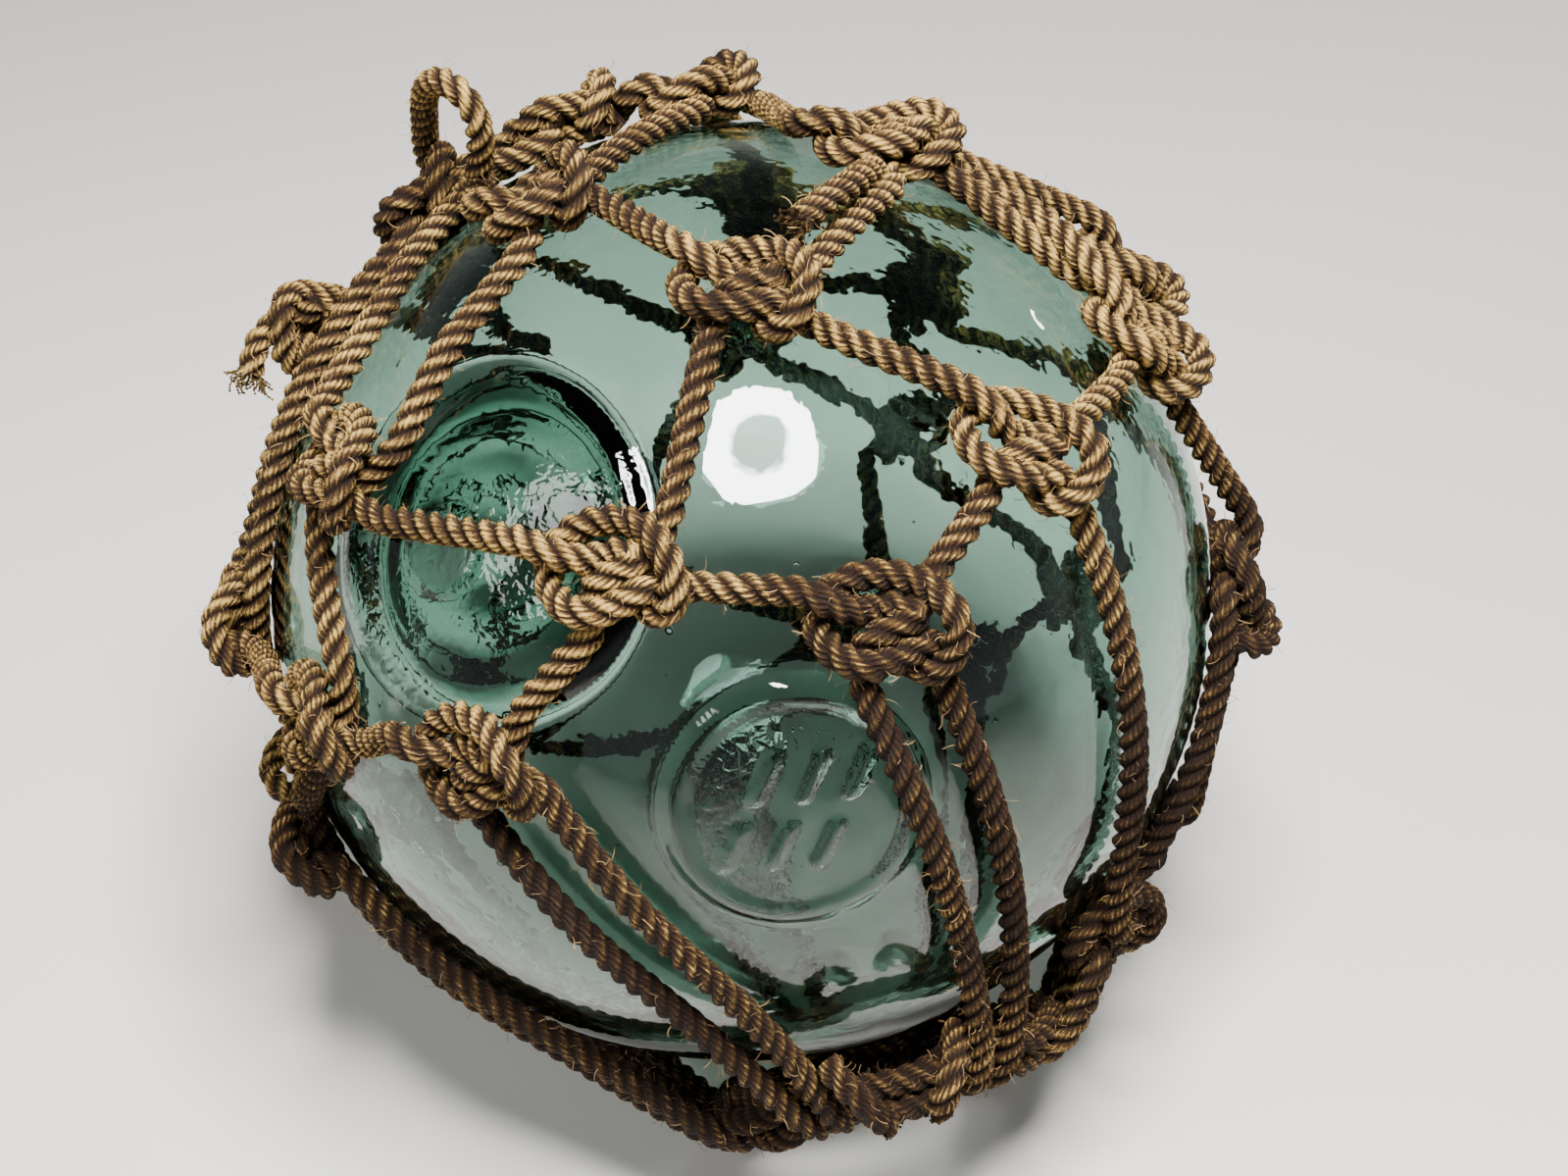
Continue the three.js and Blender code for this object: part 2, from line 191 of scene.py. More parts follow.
# How the rope is laid: three strands, with their size and offset as shares of the rope's radius.
LAY_PITCH = 0.0185
ROPE_SIDES = 21
STRAND_RADIUS = 0.56
STRAND_OFFSET = 0.44
UNEVENNESS = 0.16
FIBRE_DENSITY = 16000.0
FIBRE_LENGTH = 0.0045
FIBRE_THICKNESS = 0.00011

# How the rope is drawn up and meshed.
RELAX_STEP = 3.0
RELAX_ROUNDS = 70
MESH_STEP = 1.5
NEAR_REACH = 26.0
OWN_BEND = 24.0
KNOT_REACH = 2.9
TIGHTNESS = 0.87


def turn_matrix(axis, degrees):
    """Rotation matrix about a main axis: 0 is X, 1 is Y and 2 is Z."""
    cosine, sine = math.cos(math.radians(degrees)), math.sin(math.radians(degrees))
    a, b = (axis + 1) % 3, (axis + 2) % 3
    matrix = np.eye(3)
    matrix[a, a] = matrix[b, b] = cosine
    matrix[a, b], matrix[b, a] = -sine, sine
    return matrix


NET_TURN = turn_matrix(2, NET_HEADING) @ turn_matrix(0, -NET_LEAN)


def unit(vectors):
    vectors = np.asarray(vectors, float)
    return vectors / np.maximum(np.linalg.norm(vectors, axis=-1, keepdims=True), 1e-9)


def smoothstep(value, start, end):
    share = np.clip((value - start) / (end - start), 0, 1)
    return share * share * (3 - 2 * share)


def net_direction(latitude, longitude):
    """Direction from the ball's centre at a latitude and longitude of the net."""
    low, east = math.radians(latitude), math.radians(longitude)
    return NET_TURN @ np.array([
        math.cos(low) * math.sin(east), -math.cos(low) * math.cos(east), -math.sin(low)])


def reach_from(directions, place):
    """Distance over the glass from a place on the net's globe, in millimetres."""
    return BALL_RADIUS * np.arccos(np.clip(np.asarray(directions) @ net_direction(*place), -1, 1))


def lift_over(directions):
    """How far the pressed forms lift the rope that crosses them."""
    lift = 0
    for place, diameter, rise in ((SEAL_PLACE, SEAL_DIAMETER, SEAL_RISE), (DISC_PLACE, DISC_DIAMETER, DISC_RISE)):
        reach = reach_from(directions, place)
        lift = lift + rise * (1 - smoothstep(reach, diameter / 2, diameter / 2 + 1.5 * ROPE))
    return lift


def over_glass(direction, height):
    """Point over the glass, at a height in rope diameters above it."""
    direction = unit(direction)
    return direction * (BALL_RADIUS + CLEARANCE / 2 + lift_over(direction) + height * ROPE)


def run_over_glass(places):
    return [over_glass(net_direction(latitude, longitude), height) for latitude, longitude, height in places]


knot_centres = []


def tie_knot(latitude, longitude, turn, tightness=1.0, exit_run=EXIT_SIDEWAYS):
    """A knot's left and right cords, laid on the glass round its centre."""
    knot_centres.append(over_glass(net_direction(latitude, longitude), 1))
    centre = net_direction(latitude, longitude)
    pole = net_direction(-90, 0)
    north = unit(pole - centre * (pole @ centre))
    east = np.cross(north, centre)
    cosine, sine = math.cos(math.radians(turn)), math.sin(math.radians(turn))
    north, east = (north * cosine + np.cross(centre, north) * sine, east * cosine + np.cross(centre, east) * sine)

    def lay(point):
        across, up, height = point
        return over_glass(centre * BALL_RADIUS + (east * across + north * up) * tightness * ROPE, height)

    return {"left": [lay(point) for point in KNOT_LEFT], "right": [lay(point) for point in KNOT_RIGHT + exit_run]}


def lay_leg(start, end, spacing=14.0):
    """Points of a leg between two knots, on the great circle from one end to the other."""
    first, last = unit(start), unit(end)
    angle = math.acos(float(np.clip(first @ last, -1, 1)))
    steps = max(int(angle * BALL_RADIUS / spacing), 1)
    points = []
    for step in range(1, steps):
        share = step / steps
        mixed = (math.sin((1 - share) * angle) * first + math.sin(share * angle) * last) / math.sin(angle)
        points.append(over_glass(mixed, 0.5))
    return points


def hitch_over_ring(longitude):
    """A long end comes down the glass, climbs over the foot ring and tucks in under it."""
    ring_latitude = 90 - math.degrees(math.asin(RING_DIAMETER / 2 / (BALL_RADIUS + RING_HEIGHT)))
    outwards = net_direction(ring_latitude, longitude)
    pole = net_direction(90, 0)
    inwards = unit(pole - outwards * (pole @ outwards))
    middle = outwards * (BALL_RADIUS + RING_HEIGHT)
    reach = RING_BUNDLE + ROPE / 2
    points = [over_glass(outwards * BALL_RADIUS - inwards * 2.3 * reach, 0.5)]
    for degrees in (25, 55, 85, 115, 145, 175, 205):
        angle = math.radians(degrees)
        points.append(middle - inwards * reach * math.cos(angle) + outwards * reach * math.sin(angle))
    return points


def join_runs(runs):
    route = list(runs[0])
    for run in runs[1:]:
        route += lay_leg(route[-1], run[0]) + list(run)
    return route


def lay_cords():
    """The net's eight cords, each from the foot ring up, over the top and down to the ring again."""
    rows = []
    for row_index, row in enumerate(TIED_OFF_LINE):
        rows.append([
            tie_knot(
                ROW_LATITUDES[row_index] + down,
                FIRST_COLUMN + COLUMN_STEP * (column + (row_index % 2) / 2) + east,
                turn,
                KNOT_TIGHTNESS * HARD_KNOTS.get((row_index, column), 1.0),
                exit_run=EXIT_SIDEWAYS if row_index else EXIT_DOWN,
            )
            for column, (east, down, turn) in enumerate(row)
        ])
    crown = [tie_knot(*knot, CROWN_TIGHTNESS) for knot in CROWN_KNOTS]

    def climb(column, side):
        starts_left = side == "left"
        place = RING_PLACES[column] + (-LONG_END_SPREAD if starts_left else LONG_END_SPREAD)
        runs = [hitch_over_ring(place)[::-1]]
        for row_index, row in enumerate(rows):
            is_offset = row_index % 2 == 1
            knot = (column + KNOTS_AROUND - 1) % KNOTS_AROUND if is_offset and starts_left else column
            cord_side = "right" if is_offset == starts_left else "left"
            runs.append(row[knot][cord_side][::-1])
        return join_runs(runs)

    cords = []
    for column in range(KNOTS_AROUND):
        up = climb(column, "left")
        if column % 2 == 1:
            cords.append(join_runs([up, climb(column, "right")[::-1]]))
        else:
            last = (column + KNOTS_AROUND - 2) % KNOTS_AROUND
            cords.append(join_runs([
                up, crown[column // 2]["left"][::-1], crown[last // 2]["right"], climb(last, "right")[::-1]]))
    return cords


def lay_ring():
    """Three turns of one rope, closed on itself and twisted a third of a turn in each."""
    pole = net_direction(90, 0)
    side = unit(np.cross(pole, [0, 0, 1]))
    front = np.cross(pole, side)
    height = math.sqrt((BALL_RADIUS + RING_HEIGHT) ** 2 - (RING_DIAMETER / 2) ** 2)
    bundle = ROPE / math.sqrt(3)
    points = []
    for step in range(3 * 48):
        around = 2 * math.pi * step / 48
        lean = around / 3 + 0.5 * math.sin(2 * around)
        radial = side * math.cos(around) + front * math.sin(around)
        slack = 1 + 0.012 * math.sin(around * 5 / 3 + 1)
        points.append(
            pole * (height + bundle * math.sin(lean)) + radial * (RING_DIAMETER / 2 * slack + bundle * math.cos(lean)))
    return points


def spline_through(points, step, closed=False):
    """A smooth curve through the points, sampled at an even step."""
    points = np.asarray(points, float)
    ends = (points[-1:], points[:1], points[1:2]) if closed else (
        2 * points[:1] - points[1:2], 2 * points[-1:] - points[-2:-1], points[:0])
    padded = np.vstack((ends[0], points, ends[1], ends[2]))
    dense = []
    for before, start, end, after in zip(padded, padded[1:], padded[2:], padded[3:]):
        pieces = max(int(np.linalg.norm(end - start) / step * 3), 4)
        t = np.arange(pieces)[:, None] / pieces
        dense.append(0.5 * (
            2 * start + (end - before) * t + (2 * before - 5 * start + 4 * end - after) * t ** 2
            + (3 * start - before - 3 * end + after) * t ** 3))
    last = padded[1:2] if closed else points[-1:]
    dense = np.vstack(dense + [last])
    length = np.concatenate(([0], np.cumsum(np.linalg.norm(np.diff(dense, axis=0), axis=1))))
    count = max(int(length[-1] / step), 2)
    marks = np.linspace(0, length[-1], count + 1)
    return np.stack([np.interp(marks, length, dense[:, axis]) for axis in range(3)], axis=1)


def draw_up(routes, closed, taut):
    """Settles the cords against the glass, the floor and each other, so that none runs through another."""
    samples = [spline_through(route, RELAX_STEP, shut) for route, shut in zip(routes, closed)]
    owner = np.concatenate([np.full(len(run), i) for i, run in enumerate(samples)])
    index = np.concatenate([np.arange(len(run)) for run in samples])
    place = np.vstack(samples)
    first = place.copy()
    apart = int(OWN_BEND / RELAX_STEP)
    pairs = []
    for start in range(0, len(place), 400):
        block = place[start:start + 400]
        squared = ((block[:, None] - place[None]) ** 2).sum(axis=2)
        a, b = np.where(squared < NEAR_REACH ** 2)
        a = a + start
        keep = (a < b) & ((owner[a] != owner[b]) | (np.abs(index[a] - index[b]) > apart))
        pairs.append(np.stack((a[keep], b[keep]), axis=1))
    a, b = np.vstack(pairs).T
    shut = np.array(closed)[owner[a]]
    counts = np.array([len(run) for run in samples])[owner[a]]
    wraps = shut & (owner[a] == owner[b]) & (counts - np.abs(index[a] - index[b]) < apart)
    a, b = a[~wraps], b[~wraps]
    inner = np.where((owner[:-2] == owner[2:]))[0] + 1
    nearest = np.min(np.linalg.norm(place[:, None] - np.array(knot_centres)[None], axis=2), axis=1)
    hold = 1 - smoothstep(nearest, KNOT_REACH * ROPE, (KNOT_REACH + 1) * ROPE)[:, None]
    hold[np.concatenate(([True], owner[1:] != owner[:-1]))] = 1
    hold[np.concatenate((owner[1:] != owner[:-1], [True]))] = 1
    free = (1 - hold) * np.array(taut)[owner][:, None]
    hold = 1 - free
    floor = -BALL_CENTRE[2] + SQUASHED_HEIGHT
    for _ in range(RELAX_ROUNDS):
        gap = place[a] - place[b]
        distance = np.maximum(np.linalg.norm(gap, axis=1, keepdims=True), 1e-6)
        short = np.clip(TIGHTNESS * ROPE - distance, 0, None)
        push = 0.5 * short * gap / distance
        moved = np.zeros_like(place)
        hits = np.zeros((len(place), 1))
        np.add.at(moved, a, push)
        np.add.at(moved, b, -push)
        np.add.at(hits, a, short > 0)
        np.add.at(hits, b, short > 0)
        place += 1.3 * moved / np.maximum(hits, 1)
        for _ in range(4):
            bend = place[inner - 1] + place[inner + 1] - 2 * place[inner]
            place[inner] += (0.04 + 0.4 * free[inner]) * bend
        place += 0.05 * hold * (first - place)
        radius = np.linalg.norm(place, axis=1, keepdims=True)
        outwards = place / radius
        least = BALL_RADIUS + ROPE / 2 + 0.1 + np.reshape(lift_over(outwards), (-1, 1))
        place = outwards * np.maximum(radius, least)
        place[:, 2] = np.maximum(place[:, 2], floor)
    return [place[owner == i] for i in range(len(samples))]


def hex_colour(text):
    """Linear RGBA from an sRGB hex colour."""
    channels = [int(text[i:i + 2], 16) / 255 for i in (1, 3, 5)]
    return (*((c / 12.92 if c <= 0.04045 else ((c + 0.055) / 1.055) ** 2.4) for c in channels), 1.0)


def add_node(tree, kind, inputs=None, **settings):
    """Adds a node, with its settings, and its inputs as values or as links."""
    node = tree.nodes.new(kind)
    for name, value in settings.items():
        setattr(node, name, value)
    for name, value in (inputs or {}).items():
        if isinstance(value, bpy.types.NodeSocket):
            tree.links.new(value, node.inputs[name])
        else:
            node.inputs[name].default_value = value
    return node


def calculate(tree, operation, *values):
    """Adds a math node and returns its result."""
    return add_node(tree, "ShaderNodeMath", dict(enumerate(values)), operation=operation).outputs[0]


def noise(tree, place, scale, detail, **more):
    """Adds a noise with so many features to the metre, and returns its grey value."""
    inputs = {"Vector": place, "Scale": scale, "Detail": detail}
    inputs.update((name.capitalize(), value) for name, value in more.items())
    return add_node(tree, "ShaderNodeTexNoise", inputs).outputs["Fac"]


def store(tree, geometry, name, value, data_type="FLOAT"):
    """Keeps a value on the points of a geometry under a name, and returns the geometry."""
    return add_node(
        tree, "GeometryNodeStoreNamedAttribute", {"Geometry": geometry, "Name": name, "Value": value},
        data_type=data_type, domain="POINT").outputs["Geometry"]


def new_material(name):
    material = bpy.data.materials.new(name)
    material.use_nodes = True
    material.node_tree.nodes.clear()
    return material


def mesh_object(name, vertices, faces, material=None):
    mesh = bpy.data.meshes.new(name)
    mesh.from_pydata([tuple(v) for v in vertices], [], [tuple(f) for f in faces])
    mesh.validate()
    if material:
        mesh.materials.append(material)
    for polygon in mesh.polygons:
        polygon.use_smooth = True
    thing = bpy.data.objects.new(name, mesh)
    bpy.context.scene.collection.objects.link(thing)
    return thing


class FloatSettings(bpy.types.PropertyGroup):
    """Sizes and colours of the float that a user may change."""

    wall: bpy.props.FloatProperty(
        name="Glass wall", description="Thickness of the blown glass, in millimetres", default=5.0, min=2.0, max=12.0)
    absorption: bpy.props.FloatProperty(
        name="Glass density", description="How fast the glass takes up light, per metre", default=250.0, min=0.0)
    glass_tint: bpy.props.FloatVectorProperty(
        name="Glass tint", description="Colour that the glass lets through", subtype="COLOR",
        default=(0.49, 0.69, 0.62), size=3, min=0.0, max=1.0)
    lay_pitch: bpy.props.FloatProperty(
        name="Lay", description="Length of one turn of a strand", default=LAY_PITCH, unit="LENGTH")
    rope_sides: bpy.props.IntProperty(
        name="Rope sides", description="Faces round the rope", default=ROPE_SIDES, min=9, max=48)
    fuzz: bpy.props.FloatProperty(
        name="Loose fibres", description="Fibres for each square metre of rope", default=FIBRE_DENSITY, min=0.0)
    # The light colour is the fibres' own pale tone and also the painted highlight on the strands' crowns; the dark
    # colour is weathered fibre and also the painted shade towards the foot ring; the groove colour is painted shade
    # with dirt between the strands.
    rope_light: bpy.props.StringProperty(
        name="Light rope", description="Colour of the sun-bleached fibres", default="#b89553")
    rope_dark: bpy.props.StringProperty(
        name="Dark rope", description="Colour of the weathered fibres", default="#443016")
    rope_groove: bpy.props.StringProperty(
        name="Groove", description="Colour between the strands", default="#1a0d05")
    floor_colour: bpy.props.StringProperty(
        name="Floor", description="Colour of the floor and backdrop", default="#cfcbc5")
    key_power: bpy.props.FloatProperty(
        name="Key light", description="Power of the round key light", default=54.0, unit="POWER")
    fill_power: bpy.props.FloatProperty(
        name="Fill light", description="Power of the broad fill light", default=22.0, unit="POWER")


def settings():
    return bpy.context.scene.netted_float


def laid_rope_material(name, painted_shade_shift):
    """Manila rope, three-strand laid: dull and hairy, with painted shade and dirt darkening the grooves between the
    strands, a painted highlight lightening the crowns, and painted shade growing towards the foot ring.
    """
    values = settings()
    material = new_material(name)
    tree = material.node_tree
    lay = add_node(tree, "ShaderNodeAttribute", attribute_name="lay")
    groove = add_node(tree, "ShaderNodeAttribute", attribute_name="groove")
    place = add_node(tree, "ShaderNodeTexCoord")
    parts = add_node(tree, "ShaderNodeSeparateXYZ", {0: lay.outputs["Vector"]})
    angle = calculate(tree, "ARCTAN2", parts.outputs["Y"], parts.outputs["X"])
    # Fibres lie along the rope, about 0.7 mm wide and 7 mm long where they show.
    fibre_place = add_node(
        tree, "ShaderNodeVectorMath", {0: lay.outputs["Vector"], 1: (ROPE / 2, ROPE / 2, 90.0)}, operation="MULTIPLY")
    fibre = noise(tree, fibre_place.outputs[0], 1.5, 4.0, roughness=0.65)
    # Yarns, about 2 mm wide round the rope.
    slant = calculate(tree, "MULTIPLY", parts.outputs["Z"], 2 * math.pi * YARNS_AROUND / YARN_SLANT)
    wander = calculate(tree, "MULTIPLY_ADD", fibre, 2.6, slant)
    yarn_angle = calculate(tree, "MULTIPLY_ADD", angle, float(YARNS_AROUND), wander)
    yarn_wave = calculate(tree, "COSINE", yarn_angle)
    yarn = add_node(tree, "ShaderNodeMapRange", {0: yarn_wave, 1: -1.0, 2: 1.0, 3: 0.0, 4: 1.0})
    # Patches of weather, 20 to 40 mm across.
    patches = noise(tree, place.outputs["Object"], WEATHERED_PATCHES, 3.0)
    grit = noise(tree, place.outputs["Object"], ROPE_GRIT, 2.0)
    shade_fibre = calculate(tree, "MULTIPLY_ADD", fibre, 1.9, -0.5)
    shade_patch = calculate(tree, "MULTIPLY_ADD", patches, 1.1, shade_fibre)
    # Painted shade and highlight: each strand is painted lighter on its crown and darker towards the grooves.
    shade_strand = calculate(tree, "MULTIPLY_ADD", groove.outputs["Fac"], -0.75, shade_patch)
    # Whole lengths of rope are more weathered than others, over 100 mm or so.
    lengths = noise(tree, place.outputs["Object"], WEATHERED_LENGTHS, 1.0)
    weathered = add_node(
        tree, "ShaderNodeMapRange", {0: lengths, 1: 0.35, 2: 0.65, 3: -0.14, 4: 0.12})
    shade_large = calculate(tree, "ADD", shade_strand, weathered.outputs[0])
    shade_yarn = calculate(tree, "MULTIPLY_ADD", yarn.outputs[0], 0.26, shade_large)
    # The rope is painted darker towards the foot ring: painted shade on the lower part of the net.
    foot = tuple(net_direction(90, 0))
    centre = tuple(BALL_CENTRE / METRE)
    from_centre = add_node(
        tree, "ShaderNodeVectorMath", {0: place.outputs["Object"], 1: centre}, operation="SUBTRACT")
    along = add_node(
        tree, "ShaderNodeVectorMath", {0: from_centre.outputs[0], 1: foot}, operation="DOT_PRODUCT")
    painted_ring_shade = add_node(
        tree, "ShaderNodeMapRange",
        {0: along.outputs["Value"], 1: RING_SHADE_FROM, 2: RING_SHADE_TO, 3: painted_shade_shift + PAINTED_SHADE_AWAY_FROM_RING, 4: PAINTED_SHADE_AT_RING + painted_shade_shift},
        interpolation_type="SMOOTHSTEP")
    tone = calculate(tree, "SUBTRACT", shade_yarn, painted_ring_shade.outputs[0])
    colours = add_node(tree, "ShaderNodeValToRGB", {0: tone})
    ramp = colours.color_ramp
    ramp.elements[0].position, ramp.elements[0].color = 0.05, hex_colour(values.rope_groove)
    ramp.elements[1].position, ramp.elements[1].color = 0.95, hex_colour(values.rope_light)
    middle = ramp.elements.new(0.5)
    middle.color = hex_colour(values.rope_dark)
    # Painted shade, with dirt: the deepest part of each groove is mixed towards the groove colour.
    hollow = add_node(
        tree, "ShaderNodeMapRange", {0: groove.outputs["Fac"], 1: 0.6, 2: 1.0, 3: 0.0, 4: 0.9},
        interpolation_type="SMOOTHSTEP")
    mixed = add_node(
        tree, "ShaderNodeMix",
        {"Factor": hollow.outputs[0], 6: colours.outputs["Color"], 7: hex_colour(values.rope_groove)},
        data_type="RGBA")
    height_fibre = calculate(tree, "MULTIPLY_ADD", yarn.outputs[0], 0.5, fibre)
    height = calculate(tree, "MULTIPLY_ADD", grit, 0.35, height_fibre)
    bump = add_node(
        tree, "ShaderNodeBump", {"Strength": 0.9, "Distance": 0.0011, "Height": height})
    shader = add_node(
        tree, "ShaderNodeBsdfPrincipled",
        {"Base Color": mixed.outputs[2], "Roughness": 0.78, "IOR": 1.45, "Specular IOR Level": 0.18,
         "Normal": bump.outputs[0]})
    add_node(tree, "ShaderNodeOutputMaterial", {"Surface": shader.outputs[0]})
    return material


def fibre_material():
    """Loose manila fibres: thin, straw-coloured and a little glossy."""
    material = new_material("loose_manila_fibre")
    tree = material.node_tree
    place = add_node(tree, "ShaderNodeTexCoord")
    patches = noise(tree, place.outputs["Object"], LOOSE_FIBRE_SHADES, 2.0)
    colours = add_node(tree, "ShaderNodeValToRGB", {0: patches})
    colours.color_ramp.elements[0].position = 0.35
    colours.color_ramp.elements[0].color = hex_colour("#5a3d22")
    colours.color_ramp.elements[1].position = 0.7
    colours.color_ramp.elements[1].color = hex_colour("#b7935f")
    shader = add_node(
        tree, "ShaderNodeBsdfPrincipled", {"Base Color": colours.outputs["Color"], "Roughness": 0.7, "IOR": 1.5})
    add_node(tree, "ShaderNodeOutputMaterial", {"Surface": shader.outputs[0]})
    return material


def blown_glass_material():
    """Blown soda-lime glass, blue-green with iron: clear and glossy, scuffed, with a frosted button."""
    values = settings()
    material = new_material("blown_soda_glass")
    tree = material.node_tree
    place = add_node(tree, "ShaderNodeTexCoord")
    scuffs = noise(tree, place.outputs["Object"], GLASS_SCUFFS, 6.0, roughness=0.8)
    patches = noise(tree, place.outputs["Object"], SCUFFED_PATCHES, 4.0)
    scuffed = calculate(tree, "MULTIPLY", scuffs, patches)
    worn = add_node(tree, "ShaderNodeMapRange", {0: scuffed, 1: 0.38, 2: 0.52, 3: 0.0, 4: 0.22})
    # The seal's small button was broken off the iron and is frosted.
    button = tuple(BALL_CENTRE / METRE + net_direction(*BUTTON_PLACE) * (BALL_RADIUS + SEAL_RISE) / METRE)
    distance = add_node(
        tree, "ShaderNodeVectorMath", {0: place.outputs["Object"], 1: button}, operation="DISTANCE")
    frost = add_node(
        tree, "ShaderNodeMapRange", {0: distance.outputs["Value"], 1: 0.008, 2: 0.013, 3: 0.45, 4: 0.0},
        interpolation_type="SMOOTHSTEP")
    roughness = calculate(tree, "MAXIMUM", worn.outputs[0], frost.outputs[0])
    # The glass is wavy as blown, 9 mm from wave to wave, and pitted where it was pressed, 3 mm apart.
    pressed = add_node(tree, "ShaderNodeAttribute", attribute_name="pressed")
    waves = noise(tree, place.outputs["Object"], GLASS_WAVES, 2.0)
    pits = noise(tree, place.outputs["Object"], GLASS_PITS, 1.0, roughness=0.5, distortion=0.6)
    pitted = calculate(tree, "MULTIPLY", pits, pressed.outputs["Fac"])
    height = calculate(tree, "MULTIPLY_ADD", waves, 0.2, pitted)
    bump = add_node(tree, "ShaderNodeBump", {"Strength": 1.0, "Distance": 0.0005, "Height": height})
    shader = add_node(
        tree, "ShaderNodeBsdfPrincipled",
        {"Base Color": (1, 1, 1, 1), "Roughness": roughness, "IOR": 1.5, "Transmission Weight": 1.0,
         "Normal": bump.outputs[0]})
    volume = add_node(
        tree, "ShaderNodeVolumeAbsorption",
        {"Color": (*values.glass_tint, 1.0), "Density": values.absorption})
    add_node(
        tree, "ShaderNodeOutputMaterial", {"Surface": shader.outputs[0], "Volume": volume.outputs[0]})
    return material


def floor_material():
    """Matt painted board, pale and slightly uneven."""
    material = new_material("pale_matt_board")
    tree = material.node_tree
    place = add_node(tree, "ShaderNodeTexCoord")
    patches = noise(tree, place.outputs["Object"], BOARD_PATCHES, 5.0)
    base = hex_colour(settings().floor_colour)
    mixed = add_node(
        tree, "ShaderNodeMix",
        {"Factor": patches, 6: base, 7: tuple(0.95 * c for c in base[:3]) + (1.0,)}, data_type="RGBA")
    shader = add_node(tree, "ShaderNodeBsdfPrincipled", {"Base Color": mixed.outputs[2], "Roughness": 0.85})
    add_node(tree, "ShaderNodeOutputMaterial", {"Surface": shader.outputs[0]})
    return material


def new_geometry_tree(name, sockets):
    tree = bpy.data.node_groups.new(name, "GeometryNodeTree")
    tree.interface.new_socket("Geometry", in_out="INPUT", socket_type="NodeSocketGeometry")
    for socket_name, socket_type, value in sockets:
        socket = tree.interface.new_socket(socket_name, in_out="INPUT", socket_type=socket_type)
        if value is not None:
            socket.default_value = value
    tree.interface.new_socket("Geometry", in_out="OUTPUT", socket_type="NodeSocketGeometry")
    return tree


